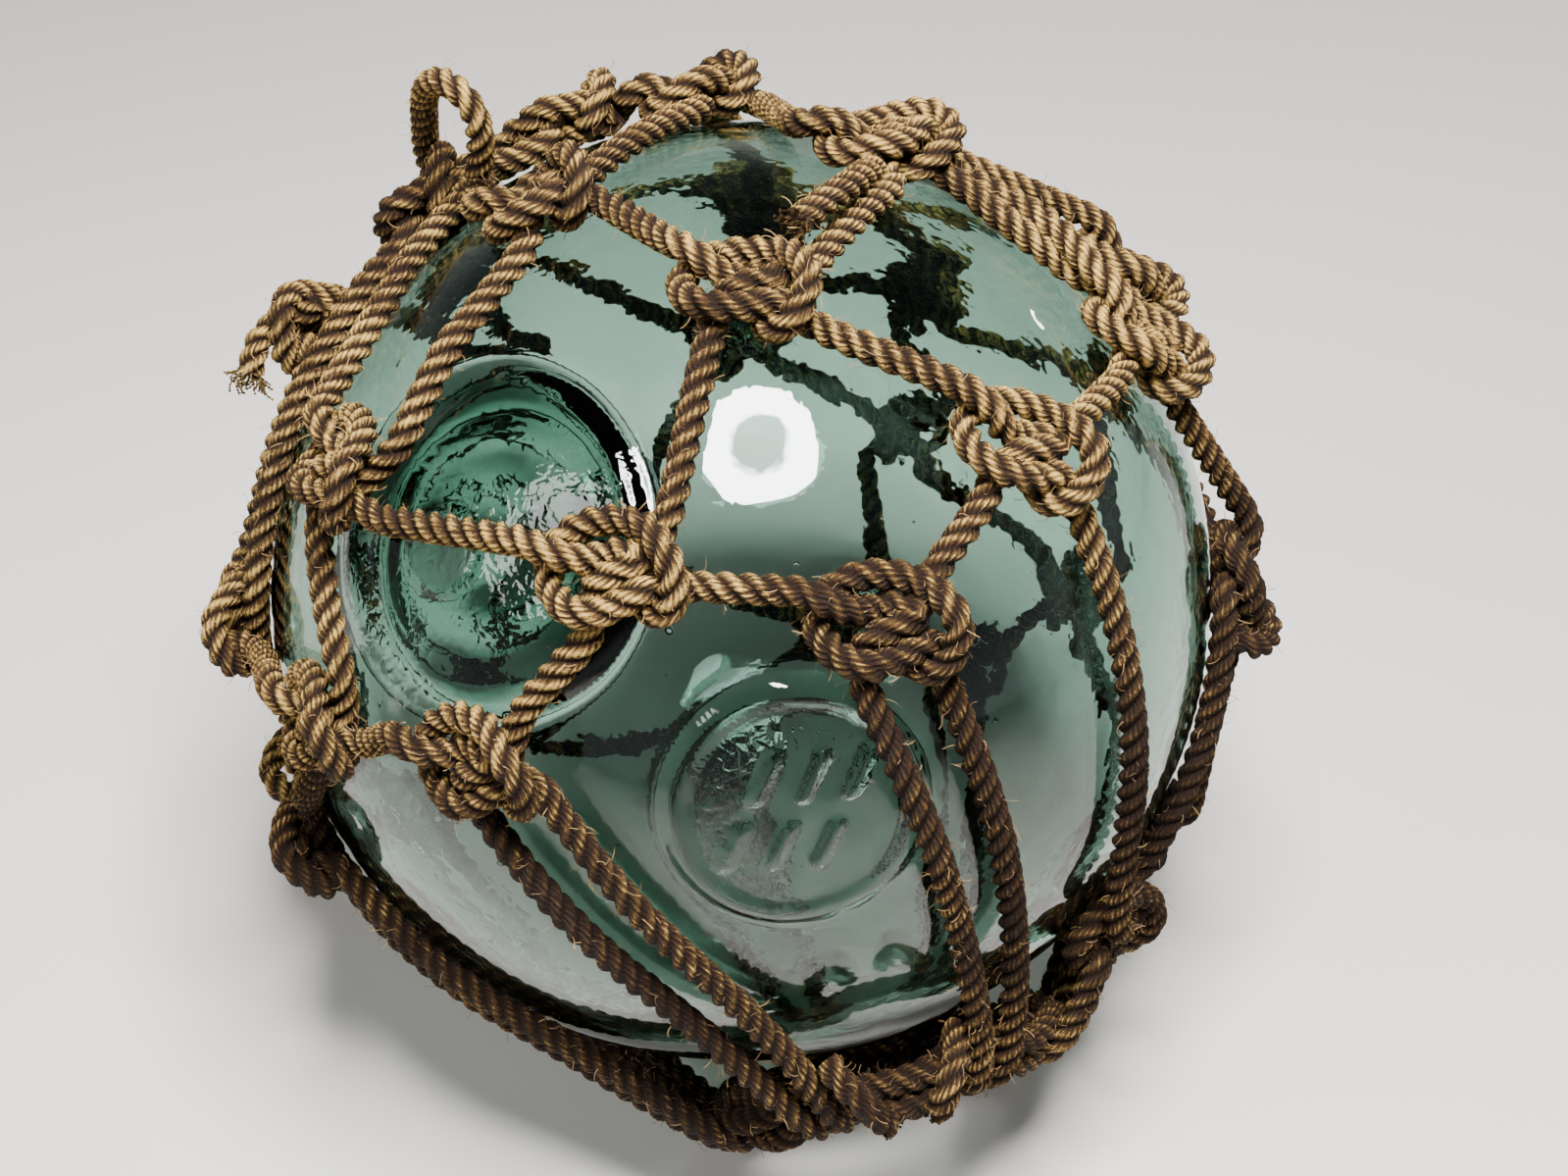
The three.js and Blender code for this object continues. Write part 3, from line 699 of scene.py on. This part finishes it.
def laid_rope_tree():
    """Sweeps three strands, laid right-handed, along each run of edges."""
    tree = new_geometry_tree("laid_rope", (
        ("Rope Radius", "NodeSocketFloat", ROPE / 2 / METRE),
        ("Lay Pitch", "NodeSocketFloat", LAY_PITCH),
        ("Sides", "NodeSocketInt", ROPE_SIDES),
        ("Strand Radius", "NodeSocketFloat", STRAND_RADIUS),
        ("Strand Offset", "NodeSocketFloat", STRAND_OFFSET),
        ("Unevenness", "NodeSocketFloat", UNEVENNESS),
        ("Material", "NodeSocketMaterial", None),
    ))
    given = add_node(tree, "NodeGroupInput").outputs
    route = add_node(tree, "GeometryNodeMeshToCurve", {"Mesh": given["Geometry"]})
    along = add_node(tree, "GeometryNodeSplineParameter")
    turns = calculate(tree, "DIVIDE", along.outputs["Length"], given["Lay Pitch"])
    twist = calculate(tree, "MULTIPLY", turns, 2 * math.pi)
    tilted = add_node(
        tree, "GeometryNodeSetCurveTilt", {"Curve": route.outputs["Curve"], "Tilt": twist})
    place = add_node(tree, "GeometryNodeInputPosition")
    lumps = noise(tree, place.outputs[0], ROPE_LUMPS, 3.0)
    lump = calculate(tree, "SUBTRACT", lumps, 0.5)
    swell = calculate(tree, "MULTIPLY_ADD", lump, given["Unevenness"], 1.0)
    sized = add_node(
        tree, "GeometryNodeSetCurveRadius", {"Curve": tilted.outputs["Curve"], "Radius": swell})
    measured = store(tree, sized.outputs["Curve"], "rope_length", along.outputs["Length"])
    ring = add_node(tree, "GeometryNodeCurvePrimitiveCircle", {"Resolution": given["Sides"], "Radius": 1.0})
    around = add_node(tree, "GeometryNodeSplineParameter")
    angle = calculate(tree, "MULTIPLY", around.outputs["Factor"], 2 * math.pi)
    marked = store(tree, ring.outputs["Curve"], "section_angle", angle)
    # Angle from the middle of the nearest strand.
    thirds = calculate(tree, "MULTIPLY", around.outputs["Factor"], 3.0)
    part = calculate(tree, "FRACT", thirds)
    off_middle = calculate(tree, "SUBTRACT", part, 0.5)
    lobe = calculate(tree, "MULTIPLY", off_middle, 2 * math.pi / 3)
    cosine = calculate(tree, "COSINE", lobe)
    sine = calculate(tree, "SINE", lobe)
    forward = calculate(tree, "MULTIPLY", cosine, given["Strand Offset"])
    sideways = calculate(tree, "MULTIPLY", sine, given["Strand Offset"])
    sideways_squared = calculate(tree, "POWER", sideways, 2.0)
    strand_squared = calculate(tree, "POWER", given["Strand Radius"], 2.0)
    depth = calculate(tree, "SUBTRACT", strand_squared, sideways_squared)
    root = calculate(tree, "SQRT", depth)
    reach = calculate(tree, "ADD", forward, root)
    radius = calculate(tree, "MULTIPLY", reach, given["Rope Radius"])
    circle_place = add_node(tree, "GeometryNodeInputPosition")
    shaped = add_node(
        tree, "ShaderNodeVectorMath", {0: circle_place.outputs[0], "Scale": radius}, operation="SCALE")
    section = add_node(
        tree, "GeometryNodeSetPosition", {"Geometry": marked, "Position": shaped.outputs[0]})
    sweep_inputs = {
        "Curve": measured, "Profile Curve": section.outputs["Geometry"], "Fill Caps": True}
    sweep = add_node(tree, "GeometryNodeCurveToMesh", sweep_inputs)
    if "Scale" in sweep.inputs:
        own_radius = add_node(tree, "GeometryNodeInputRadius")
        tree.links.new(own_radius.outputs[0], sweep.inputs["Scale"])
    length = add_node(tree, "GeometryNodeInputNamedAttribute", {"Name": "rope_length"}, data_type="FLOAT")
    section_angle = add_node(tree, "GeometryNodeInputNamedAttribute", {"Name": "section_angle"}, data_type="FLOAT")
    laps = calculate(tree, "DIVIDE", length.outputs[0], given["Lay Pitch"])
    lap_angle = calculate(tree, "MULTIPLY_ADD", laps, 2 * math.pi, section_angle.outputs[0])
    lay_cosine = calculate(tree, "COSINE", lap_angle)
    lay_sine = calculate(tree, "SINE", lap_angle)
    lay = add_node(
        tree, "ShaderNodeCombineXYZ", {0: lay_cosine, 1: lay_sine, 2: length.outputs[0]})
    with_lay = store(tree, sweep.outputs["Mesh"], "lay", lay.outputs[0], "FLOAT_VECTOR")
    section_turns = calculate(tree, "MULTIPLY", section_angle.outputs[0], 3 / (2 * math.pi))
    section_part = calculate(tree, "FRACT", section_turns)
    section_off = calculate(tree, "SUBTRACT", section_part, 0.5)
    section_away = calculate(tree, "ABSOLUTE", section_off)
    groove = calculate(tree, "MULTIPLY", section_away, 2.0)
    with_groove = store(tree, with_lay, "groove", groove)
    real = add_node(tree, "GeometryNodeRealizeInstances", {"Geometry": with_groove})
    finished = add_node(
        tree, "GeometryNodeSetMaterial", {"Geometry": real.outputs["Geometry"], "Material": given["Material"]})
    add_node(tree, "NodeGroupOutput", {"Geometry": finished.outputs["Geometry"]})
    return tree


def loose_fibre_tree():
    """Sets short curved fibres all over a rope, leaning every way."""
    tree = new_geometry_tree("loose_fibres", (
        ("Density", "NodeSocketFloat", FIBRE_DENSITY),
        ("Length", "NodeSocketFloat", FIBRE_LENGTH),
        ("Thickness", "NodeSocketFloat", FIBRE_THICKNESS),
        ("Seed", "NodeSocketInt", 4),
        ("Material", "NodeSocketMaterial", None),
    ))
    given = add_node(tree, "NodeGroupInput").outputs
    roots = add_node(
        tree, "GeometryNodeDistributePointsOnFaces",
        {"Mesh": given["Geometry"], "Density": given["Density"], "Seed": given["Seed"]})
    arc = add_node(
        tree, "GeometryNodeCurveQuadraticBezier",
        {"Resolution": 4, "Start": (0, 0, -0.1), "Middle": (0.1, 0, 0.55), "End": (0.65, 0.1, 0.75)})
    section = add_node(tree, "GeometryNodeCurvePrimitiveCircle", {"Resolution": 3})
    thickness = calculate(tree, "DIVIDE", given["Thickness"], given["Length"])
    tree.links.new(thickness, section.inputs["Radius"])
    hair = add_node(
        tree, "GeometryNodeCurveToMesh", {"Curve": arc.outputs[0], "Profile Curve": section.outputs["Curve"]})
    lean = add_node(
        tree, "FunctionNodeRandomValue", {0: (-0.9, -0.9, -3.14), 1: (0.9, 0.9, 3.14), "Seed": given["Seed"]},
        data_type="FLOAT_VECTOR")
    leaned = add_node(
        tree, "FunctionNodeRotateRotation", {0: roots.outputs["Rotation"], 1: lean.outputs[0]},
        rotation_space="LOCAL")
    spread = add_node(
        tree, "FunctionNodeRandomValue", {2: 0.35, 3: 1.0, "Seed": given["Seed"]}, data_type="FLOAT")
    scale = calculate(tree, "MULTIPLY", spread.outputs[1], given["Length"])
    hairs = add_node(
        tree, "GeometryNodeInstanceOnPoints",
        {"Points": roots.outputs["Points"], "Instance": hair.outputs["Mesh"], "Rotation": leaned.outputs[0],
         "Scale": scale})
    real = add_node(tree, "GeometryNodeRealizeInstances", {"Geometry": hairs.outputs["Instances"]})
    finished = add_node(
        tree, "GeometryNodeSetMaterial", {"Geometry": real.outputs["Geometry"], "Material": given["Material"]})
    add_node(tree, "NodeGroupOutput", {"Geometry": finished.outputs["Geometry"]})
    return tree


def grow(name, source_mesh, tree, **inputs):
    """Runs a geometry tree on a mesh and returns the result as a plain mesh object."""
    host = bpy.data.objects.new(name + "_host", source_mesh)
    bpy.context.scene.collection.objects.link(host)
    modifier = host.modifiers.new("Nodes", "NODES")
    modifier.node_group = tree
    for item in tree.interface.items_tree:
        key = item.name.lower().replace(" ", "_")
        if item.in_out == "INPUT" and key in inputs:
            modifier[item.identifier] = inputs[key]
    graph = bpy.context.evaluated_depsgraph_get()
    mesh = bpy.data.meshes.new_from_object(host.evaluated_get(graph), depsgraph=graph)
    host.modifiers.clear()
    bpy.data.objects.remove(host)
    mesh.name = name
    for polygon in mesh.polygons:
        polygon.use_smooth = True
    made = bpy.data.objects.new(name, mesh)
    bpy.context.scene.collection.objects.link(made)
    if not mesh.vertices:
        raise RuntimeError(f"{name} came out empty")
    return made


def route_mesh(name, routes, closed):
    """Runs of edges along the routes, in metres in the row frame."""
    vertices, edges = [], []
    for route, shut in zip(routes, closed):
        points = spline_through(route, MESH_STEP)
        start = len(vertices)
        vertices += [tuple((point + BALL_CENTRE) / METRE) for point in points]
        edges += [(start + i, start + i + 1) for i in range(len(points) - 1)]
    mesh = bpy.data.meshes.new(name)
    mesh.from_pydata(vertices, edges, [])
    return mesh


def press_against_glass_and_floor(mesh):
    """Flattens the rope where it lies on the floor or bears on the glass."""
    flat = np.empty(len(mesh.vertices) * 3)
    mesh.vertices.foreach_get("co", flat)
    place = flat.reshape(-1, 3) * METRE - BALL_CENTRE
    radius = np.linalg.norm(place, axis=1, keepdims=True)
    outwards = place / radius
    least = BALL_RADIUS + 0.25 + np.reshape(lift_over(outwards), (-1, 1))
    place = outwards * np.maximum(radius, least) + BALL_CENTRE
    place[:, 2] = np.maximum(place[:, 2], 0.0)
    mesh.vertices.foreach_set("co", (place / METRE).ravel())
    mesh.update()


_settled = {}


def settled_routes():
    """All the ropes, drawn up together once."""
    if not _settled:
        cords = lay_cords()
        strays = [run_over_glass(run) for run in STRAY_RUNS]
        loop = run_over_glass(LOOP_ROUTE)
        ring = lay_ring()
        routes = cords + strays + [loop, ring + ring[:1]]
        placed = draw_up(routes, [False] * len(routes), [i < len(cords) for i in range(len(routes))])
        _settled["cords"] = placed[:len(cords)]
        _settled["strays"] = placed[len(cords):len(cords) + len(strays)]
        _settled["loop"] = [placed[-2]]
        _settled["ring"] = [placed[-1]]
    return _settled


def frayed_yarns(strays):
    """Routes of the loose yarns that spread from the undone rope ends."""
    random = np.random.default_rng(12)
    routes = []
    for run, spread in FRAYED_ENDS:
        stray = strays[run]
        forward = unit(stray[-1] - stray[-4])
        across = unit(np.cross(forward, stray[-1]))
        upright = np.cross(across, forward)
        for _ in range(YARNS_IN_FRAY):
            angle, reach = random.uniform(0, 2 * math.pi), random.uniform(0.1, 0.42) * ROPE
            aside = across * math.cos(angle) + upright * math.sin(angle)
            twist = np.cross(forward, aside)
            length = FRAY_LENGTH * (0.4 + 0.6 * spread) * random.uniform(0.45, 1.0)
            fan = spread * ROPE * random.uniform(0.2, 1.0)
            start = stray[-1] - forward * 2 + aside * reach
            routes.append([
                start,
                start + forward * length * 0.4 + aside * fan * 0.1 + twist * fan * 0.15,
                start + forward * length * 0.75 + aside * fan * 0.4 + twist * fan * 0.25,
                start + forward * length + aside * fan * 0.75 + twist * fan * random.uniform(-0.2, 0.4)])
    return routes


def make_rope(name, routes, material, fibres=True, radius=ROPE / 2 / METRE, pitch=None):
    values = settings()
    source = route_mesh(name + "_route", routes, [False] * len(routes))
    rope = grow(
        name, source, bpy.data.node_groups.get("laid_rope") or laid_rope_tree(), rope_radius=radius,
        lay_pitch=pitch or values.lay_pitch, sides=values.rope_sides, material=material)
    press_against_glass_and_floor(rope.data)
    made = [rope]
    if fibres and values.fuzz > 0:
        fibre = bpy.data.materials.get("loose_manila_fibre") or fibre_material()
        made.append(grow(
            name + "_fibres", rope.data.copy(), bpy.data.node_groups.get("loose_fibres") or loose_fibre_tree(),
            density=values.fuzz, material=fibre))
        press_against_glass_and_floor(made[1].data)
    return made


def ripples(directions, seed, frequency, count=9):
    """Smooth unevenness over the ball, from -1 to 1: a few waves set at fixed random slants."""
    random = np.random.default_rng(seed)
    total = 0
    for _ in range(count):
        slant = unit(random.normal(size=3)) * frequency * random.uniform(0.7, 1.3)
        total = total + np.sin(directions @ slant + random.uniform(0, 2 * math.pi))
    return total / count ** 0.5 / 1.4


def place_axes(place):
    """The centre, east and north of a place on the glass."""
    centre = net_direction(*place)
    upright = np.array([0, 0, 1.0])
    north = unit(upright - centre * (upright @ centre))
    return centre, np.cross(north, centre), north


def outer_glass(directions):
    """Radius of the outside of the ball, with the seal, the pressed disc and its slanted strokes."""
    radius = BALL_RADIUS - 0.2 + 0.22 * ripples(directions, 3, 9) + 0.08 * ripples(directions, 5, 30)
    seal = reach_from(directions, SEAL_PLACE)
    edge = SEAL_DIAMETER / 2 + 1.5 * ripples(directions, 8, 9)
    inside = 1 - smoothstep(seal, edge - SEAL_SLOPE, edge)
    radius = radius + inside * (SEAL_RISE * 0.8 + 0.3 * ripples(directions, 11, 34))
    pad = reach_from(directions, PAD_PLACE)
    pad_edge = PAD_DIAMETER / 2 + 5 * ripples(directions, 14, 7)
    radius = radius - PAD_DEPTH * inside * smoothstep(pad, pad_edge, pad_edge + PAD_SLOPE)
    radius = radius - 0.9 * (1 - smoothstep(seal, 12, 34))
    radius = radius + BUTTON_RISE * (1 - smoothstep(reach_from(directions, BUTTON_PLACE), 11.5, 14))
    disc = reach_from(directions, DISC_PLACE)
    rim = DISC_DIAMETER / 2 + 0.7 * ripples(directions, 19, 9)
    nib = reach_from(directions, NIB_PLACE)
    radius = radius + DISC_RISE * 0.75 * np.maximum(
        1 - smoothstep(disc, rim - RIM_SLOPE, rim), 1 - smoothstep(nib, 2, 6))
    field = 1 - smoothstep(disc, rim - 10, rim - 6)
    radius = radius - field * (FIELD_DEPTH + 0.2 * ripples(directions, 17, 60))
    centre, east, north = place_axes(DISC_PLACE)
    across, along = directions @ east * BALL_RADIUS, directions @ north * BALL_RADIUS
    for row in (-1, 1):
        for column in (-1, 0, 1):
            reach_x = np.abs(across - STROKE_SLANT * along - column * STROKE_SPACING)
            reach_y = np.abs(along - row * STROKE_ROW_HEIGHT)
            bar = (1 - smoothstep(reach_x, 1.0, 2.6)) * (1 - smoothstep(reach_y, 6.2, 8.0))
            radius = radius + STROKE_RISE * bar * (directions @ centre > 0)
    return radius


def inner_glass(directions):
    """Radius of the inside of the ball: uneven as blown, and thick behind the seal."""
    wall = settings().wall
    radius = BALL_RADIUS - wall - 0.7 * ripples(directions, 21, 4) - 0.22 * ripples(directions, 23, 15)
    seal = reach_from(directions, SEAL_PLACE)
    edge = THICK_RADIUS + 4 * ripples(directions, 27, 9)
    inside = 1 - smoothstep(seal, edge - 9, edge + 5)
    radius = radius - inside * (SEAL_THICKENING + 3 * ripples(directions, 29, 13) + 1.1 * np.cos(seal / 3.4))
    disc = reach_from(directions, DISC_PLACE)
    radius = radius - 0.9 * (1 - smoothstep(disc, 30, 44)) - 0.25 * ripples(directions, 33, 55) * (
        1 - smoothstep(disc, 32, 38))
    return radius


def pressed_share(directions):
    """How pitted the glass is: most round the edges of the disc's field, less on the seal."""
    seal = reach_from(directions, SEAL_PLACE)
    disc = reach_from(directions, DISC_PLACE)
    patchy = smoothstep(ripples(directions, 37, 12), -0.4, 0.6)
    on_seal = 1 - smoothstep(seal, SEAL_DIAMETER / 2 - 6, SEAL_DIAMETER / 2)
    on_disc = 1 - smoothstep(disc, DISC_DIAMETER / 2 - 14, DISC_DIAMETER / 2 - 9)
    button = 1 - smoothstep(reach_from(directions, BUTTON_PLACE), 10, 12)
    return np.maximum(1.1 * button, 0.6 * on_seal * (0.25 + 0.75 * patchy)) + on_disc * (
        0.1 + 1.0 * smoothstep(disc, 8, 24) * patchy)


def cube_sphere(count):
    """Directions and quads of a ball, evenly meshed from six square grids."""
    steps = np.tan(np.linspace(-math.pi / 4, math.pi / 4, count + 1))
    u, v = np.meshgrid(steps, steps, indexing="ij")
    directions, faces = [], []
    for axis in range(3):
        for sign in (1, -1):
            grid = np.empty((count + 1, count + 1, 3))
            grid[..., axis] = sign
            grid[..., (axis + 1) % 3] = u * sign
            grid[..., (axis + 2) % 3] = v
            start = len(directions) * (count + 1) ** 2
            corner = start + np.arange(count)[:, None] * (count + 1) + np.arange(count)[None]
            faces.append(np.stack(
                (corner, corner + count + 1, corner + count + 2, corner + 1), axis=-1).reshape(-1, 4))
            directions.append(unit(grid.reshape(-1, 3)))
    directions = np.vstack(directions)
    _, first, back = np.unique(np.round(directions, 6), axis=0, return_index=True, return_inverse=True)
    return directions[first], back.reshape(-1)[np.vstack(faces)]


def gather(directions, place, reach, closeness):
    """Draws a ball's vertices closer together round a place, so that its detail is finely meshed."""
    centre = net_direction(*place)
    angle = np.arccos(np.clip(directions @ centre, -1, 1))
    closer = angle * (closeness + (1 - closeness) * smoothstep(angle, 0, reach))
    aside = unit(directions - np.outer(directions @ centre, centre))
    moved = np.outer(np.cos(closer), centre) + aside * np.sin(closer)[:, None]
    return np.where((angle < reach)[:, None], moved, directions)


def make_glass_ball():
    outer, outer_faces = cube_sphere(OUTER_GRID)
    outer = gather(outer, SEAL_PLACE, 0.8, 0.65)
    outer = gather(outer, DISC_PLACE, 0.75, 0.36)
    inner, inner_faces = cube_sphere(INNER_GRID)
    outer_place = outer * outer_glass(outer)[:, None]
    inner_place = inner * inner_glass(inner)[:, None]
    vertices = [outer_place, inner_place]
    faces = [outer_faces, inner_faces[:, ::-1] + len(outer)]
    total = len(outer) + len(inner)
    random = np.random.default_rng(41)
    seed, seed_faces = cube_sphere(3)
    for _ in range(BUBBLES):
        where = unit(random.normal(size=3))
        size = random.uniform(0.35, 1.15)
        long_axis = unit(np.cross(where, random.normal(size=3)))
        bubble = seed + np.outer(seed @ long_axis, long_axis) * random.uniform(0, 0.9)
        vertices.append(bubble * size + where * (BALL_RADIUS - BUBBLE_DEPTH))
        faces.append(seed_faces[:, ::-1] + total)
        total += len(seed)
    place = (np.vstack(vertices) + BALL_CENTRE) / METRE
    ball = mesh_object("blown_glass_ball", place, np.vstack(faces), blown_glass_material())
    pressed = np.zeros(len(place))
    pressed[:len(outer)] = pressed_share(outer)
    ball.data.attributes.new("pressed", "FLOAT", "POINT").data.foreach_set("value", pressed)
    return ball


def fix_to_float(piece, node):
    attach(piece, "root")
    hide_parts(node)


class FLOAT_OT_glass_ball(bpy.types.Operator):
    """Makes the hollow glass ball with its seal, pressed disc and bubbles"""

    bl_idname = "netted_float.glass_ball"
    bl_label = "Glass ball"

    def execute(self, context):
        fix_to_float(make_glass_ball(), "glass_ball")
        return {"FINISHED"}


class FLOAT_OT_rope_net(bpy.types.Operator):
    """Makes the knotted net's cords, its short ends and their loose fibres"""

    bl_idname = "netted_float.rope_net"
    bl_label = "Rope net"

    def execute(self, context):
        # The net's rope is weathered, with painted shade in its grooves and towards the foot ring.
        material = laid_rope_material("weathered_manila_rope", 0.0)
        routes = settled_routes()
        groups = [routes["cords"][i:i + 2] for i in range(0, KNOTS_AROUND, 2)]
        groups[-1] = list(groups[-1]) + list(routes["strays"])
        for number, group in enumerate(groups, start=1):
            for piece in make_rope(f"net_cords_{number}", group, material):
                fix_to_float(piece, "rope_net")
        yarns = frayed_yarns(routes["strays"])
        for piece in make_rope("net_frayed_yarns", yarns, material, False, YARN_RADIUS, YARN_PITCH):
            fix_to_float(piece, "rope_net")
        return {"FINISHED"}


class FLOAT_OT_foot_ring(bpy.types.Operator):
    """Makes the foot ring of three turns of rope"""

    bl_idname = "netted_float.foot_ring"
    bl_label = "Foot ring"

    def execute(self, context):
        # The foot ring's rope is a shaded copy of the rope: it gets extra painted shade.
        material = laid_rope_material("dark_manila_rope", RING_PAINTED_SHADE_SHIFT)
        for piece in make_rope("foot_ring_rope", settled_routes()["ring"], material):
            fix_to_float(piece, "foot_ring")
        return {"FINISHED"}


class FLOAT_OT_hanging_loop(bpy.types.Operator):
    """Makes the rope loop that the float hangs by"""

    bl_idname = "netted_float.hanging_loop"
    bl_label = "Hanging loop"

    def execute(self, context):
        # The hanging loop's rope is a lit copy of the rope: it gets less painted shade, so it is painted lighter.
        material = laid_rope_material("pale_manila_rope", LOOP_PAINTED_SHADE_SHIFT)
        for piece in make_rope("hanging_loop_rope", settled_routes()["loop"], material):
            fix_to_float(piece, "hanging_loop")
        return {"FINISHED"}


CAMERA_TILT = 40
CAMERA_DISTANCE = 0.7778
CAMERA_LENS = 54.1
CAMERA_SHIFT = (0.0272, 0.0016)
LIGHT_DIRECTION = (0.06, -0.317, 0.945)
LIGHT_DISTANCE = 1.05
KEY_LIGHT_SIZE = 0.46
FILL_LIGHT_SIZE = 0.9
FILL_LIGHT_OFFSET = (-1.3, -0.9, 1.3)
BACK_LIGHT_SIZE = 0.3
BACK_LIGHT_OFFSET = (1.5, 1.3, 0.6)
BACK_LIGHT_SHARE = 0.6
SKY_COLOUR = "#e3e8ea"
SKY_AT_HORIZON = 0.5
SKY_OVERHEAD = 0.05
FLOOR_FRONT = -2.5
FLOOR_HALF_WIDTH = 3.0
BACKDROP_BEND_START = 2.0
BACKDROP_BEND = 0.5
BACKDROP_HEIGHT = 0.8
BEND_STEPS = 12


def add_round_light(name, size, power, offset, target):
    """A round light at an offset from what it is turned to."""
    place = target + np.array(offset)
    light = bpy.data.lights.new(name, "AREA")
    light.shape = "DISK"
    light.size = size
    light.energy = power
    lamp = bpy.data.objects.new(name, light)
    lamp.location = place
    lamp.rotation_euler = (Vector(target) - Vector(place)).to_track_quat("-Z", "Y").to_euler()
    bpy.context.scene.collection.objects.link(lamp)
    return light


class FLOAT_OT_stage(bpy.types.Operator):
    """Makes the pale floor and backdrop, the soft lights and the camera"""

    bl_idname = "netted_float.stage"
    bl_label = "Stage"

    def execute(self, context):
        values = settings()
        centre = BALL_CENTRE / METRE
        # A floor that curves up into a backdrop far behind.
        profile = [(FLOOR_FRONT, 0.0), (BACKDROP_BEND_START, 0.0)]
        for step in range(1, BEND_STEPS + 1):
            angle = math.pi / 2 * step / BEND_STEPS
            profile.append((
                BACKDROP_BEND_START + BACKDROP_BEND * math.sin(angle),
                BACKDROP_BEND - BACKDROP_BEND * math.cos(angle)))
        profile.append((BACKDROP_BEND_START + BACKDROP_BEND, BACKDROP_HEIGHT))
        vertices = [(side * FLOOR_HALF_WIDTH, y, z) for y, z in profile for side in (-1, 1)]
        faces = [(2 * i, 2 * i + 1, 2 * i + 3, 2 * i + 2) for i in range(len(profile) - 1)]
        floor = mesh_object("floor_and_backdrop", vertices, faces, floor_material())
        world = bpy.data.worlds.new("soft_room")
        world.use_nodes = True
        background = world.node_tree.nodes["Background"]
        sky = world.node_tree
        up = add_node(sky, "ShaderNodeSeparateXYZ", {0: add_node(sky, "ShaderNodeTexCoord").outputs["Generated"]})
        dimming = add_node(
            sky, "ShaderNodeMapRange", {0: up.outputs["Z"], 1: 0.05, 2: 0.45, 3: SKY_AT_HORIZON, 4: SKY_OVERHEAD},
            interpolation_type="SMOOTHSTEP")
        background.inputs["Color"].default_value = hex_colour(SKY_COLOUR)
        sky.links.new(dimming.outputs[0], background.inputs["Strength"])
        bpy.context.scene.world = world
        direction = unit(LIGHT_DIRECTION)
        key = add_round_light(
            "round_key_light", KEY_LIGHT_SIZE, values.key_power, direction * LIGHT_DISTANCE, centre)
        key.use_nodes = True
        tree = key.node_tree
        emission = tree.nodes["Emission"]
        shape = add_node(tree, "ShaderNodeNewGeometry")
        from_middle = add_node(
            tree, "ShaderNodeVectorMath", {0: shape.outputs["Parametric"], 1: (0.5, 0.5, 0.0)}, operation="DISTANCE")
        glow = add_node(
            tree, "ShaderNodeMapRange", {0: from_middle.outputs["Value"], 1: 0.2, 2: 0.26, 3: 0.12, 4: 1.3})
        tree.links.new(glow.outputs[0], emission.inputs["Strength"])
        add_round_light("broad_fill_light", FILL_LIGHT_SIZE, values.fill_power, FILL_LIGHT_OFFSET, centre)
        add_round_light(
            "back_light", BACK_LIGHT_SIZE, values.fill_power * BACK_LIGHT_SHARE, BACK_LIGHT_OFFSET, centre)
        camera = bpy.data.cameras.new("camera")
        camera.lens = CAMERA_LENS
        camera.sensor_width = 36.0
        camera.shift_x, camera.shift_y = CAMERA_SHIFT
        camera.clip_start = 0.01
        holder = bpy.data.objects.new("camera", camera)
        tilt = math.radians(CAMERA_TILT)
        holder.location = centre + CAMERA_DISTANCE * np.array((0, -math.cos(tilt), math.sin(tilt)))
        holder.rotation_euler = (math.pi / 2 - tilt, 0, 0)
        context.scene.collection.objects.link(holder)
        context.scene.camera = holder
        return {"FINISHED"}


class FLOAT_PT_panel(bpy.types.Panel):
    """Lists the float's settings and pieces"""

    bl_idname = "FLOAT_PT_panel"
    bl_label = "Netted glass float"
    bl_space_type = "VIEW_3D"
    bl_region_type = "UI"
    bl_category = "Float"

    def draw(self, context):
        for name in FloatSettings.__annotations__:
            self.layout.prop(context.scene.netted_float, name)
        for operator in OPERATORS:
            self.layout.operator(operator.bl_idname)


OPERATORS = (
    FLOAT_OT_stage, FLOAT_OT_glass_ball, FLOAT_OT_rope_net, FLOAT_OT_foot_ring, FLOAT_OT_hanging_loop)
CLASSES = (FloatSettings, *OPERATORS, FLOAT_PT_panel)


def register():
    for cls in CLASSES:
        bpy.utils.register_class(cls)
    bpy.types.Scene.netted_float = bpy.props.PointerProperty(type=FloatSettings)


def unregister():
    del bpy.types.Scene.netted_float
    for cls in reversed(CLASSES):
        bpy.utils.unregister_class(cls)


def main():
    register()
    bpy.ops.netted_float.stage()
    bpy.ops.netted_float.glass_ball()
    bpy.ops.netted_float.rope_net()
    bpy.ops.netted_float.foot_ring()
    bpy.ops.netted_float.hanging_loop()


if __name__ == "__main__":
    main()
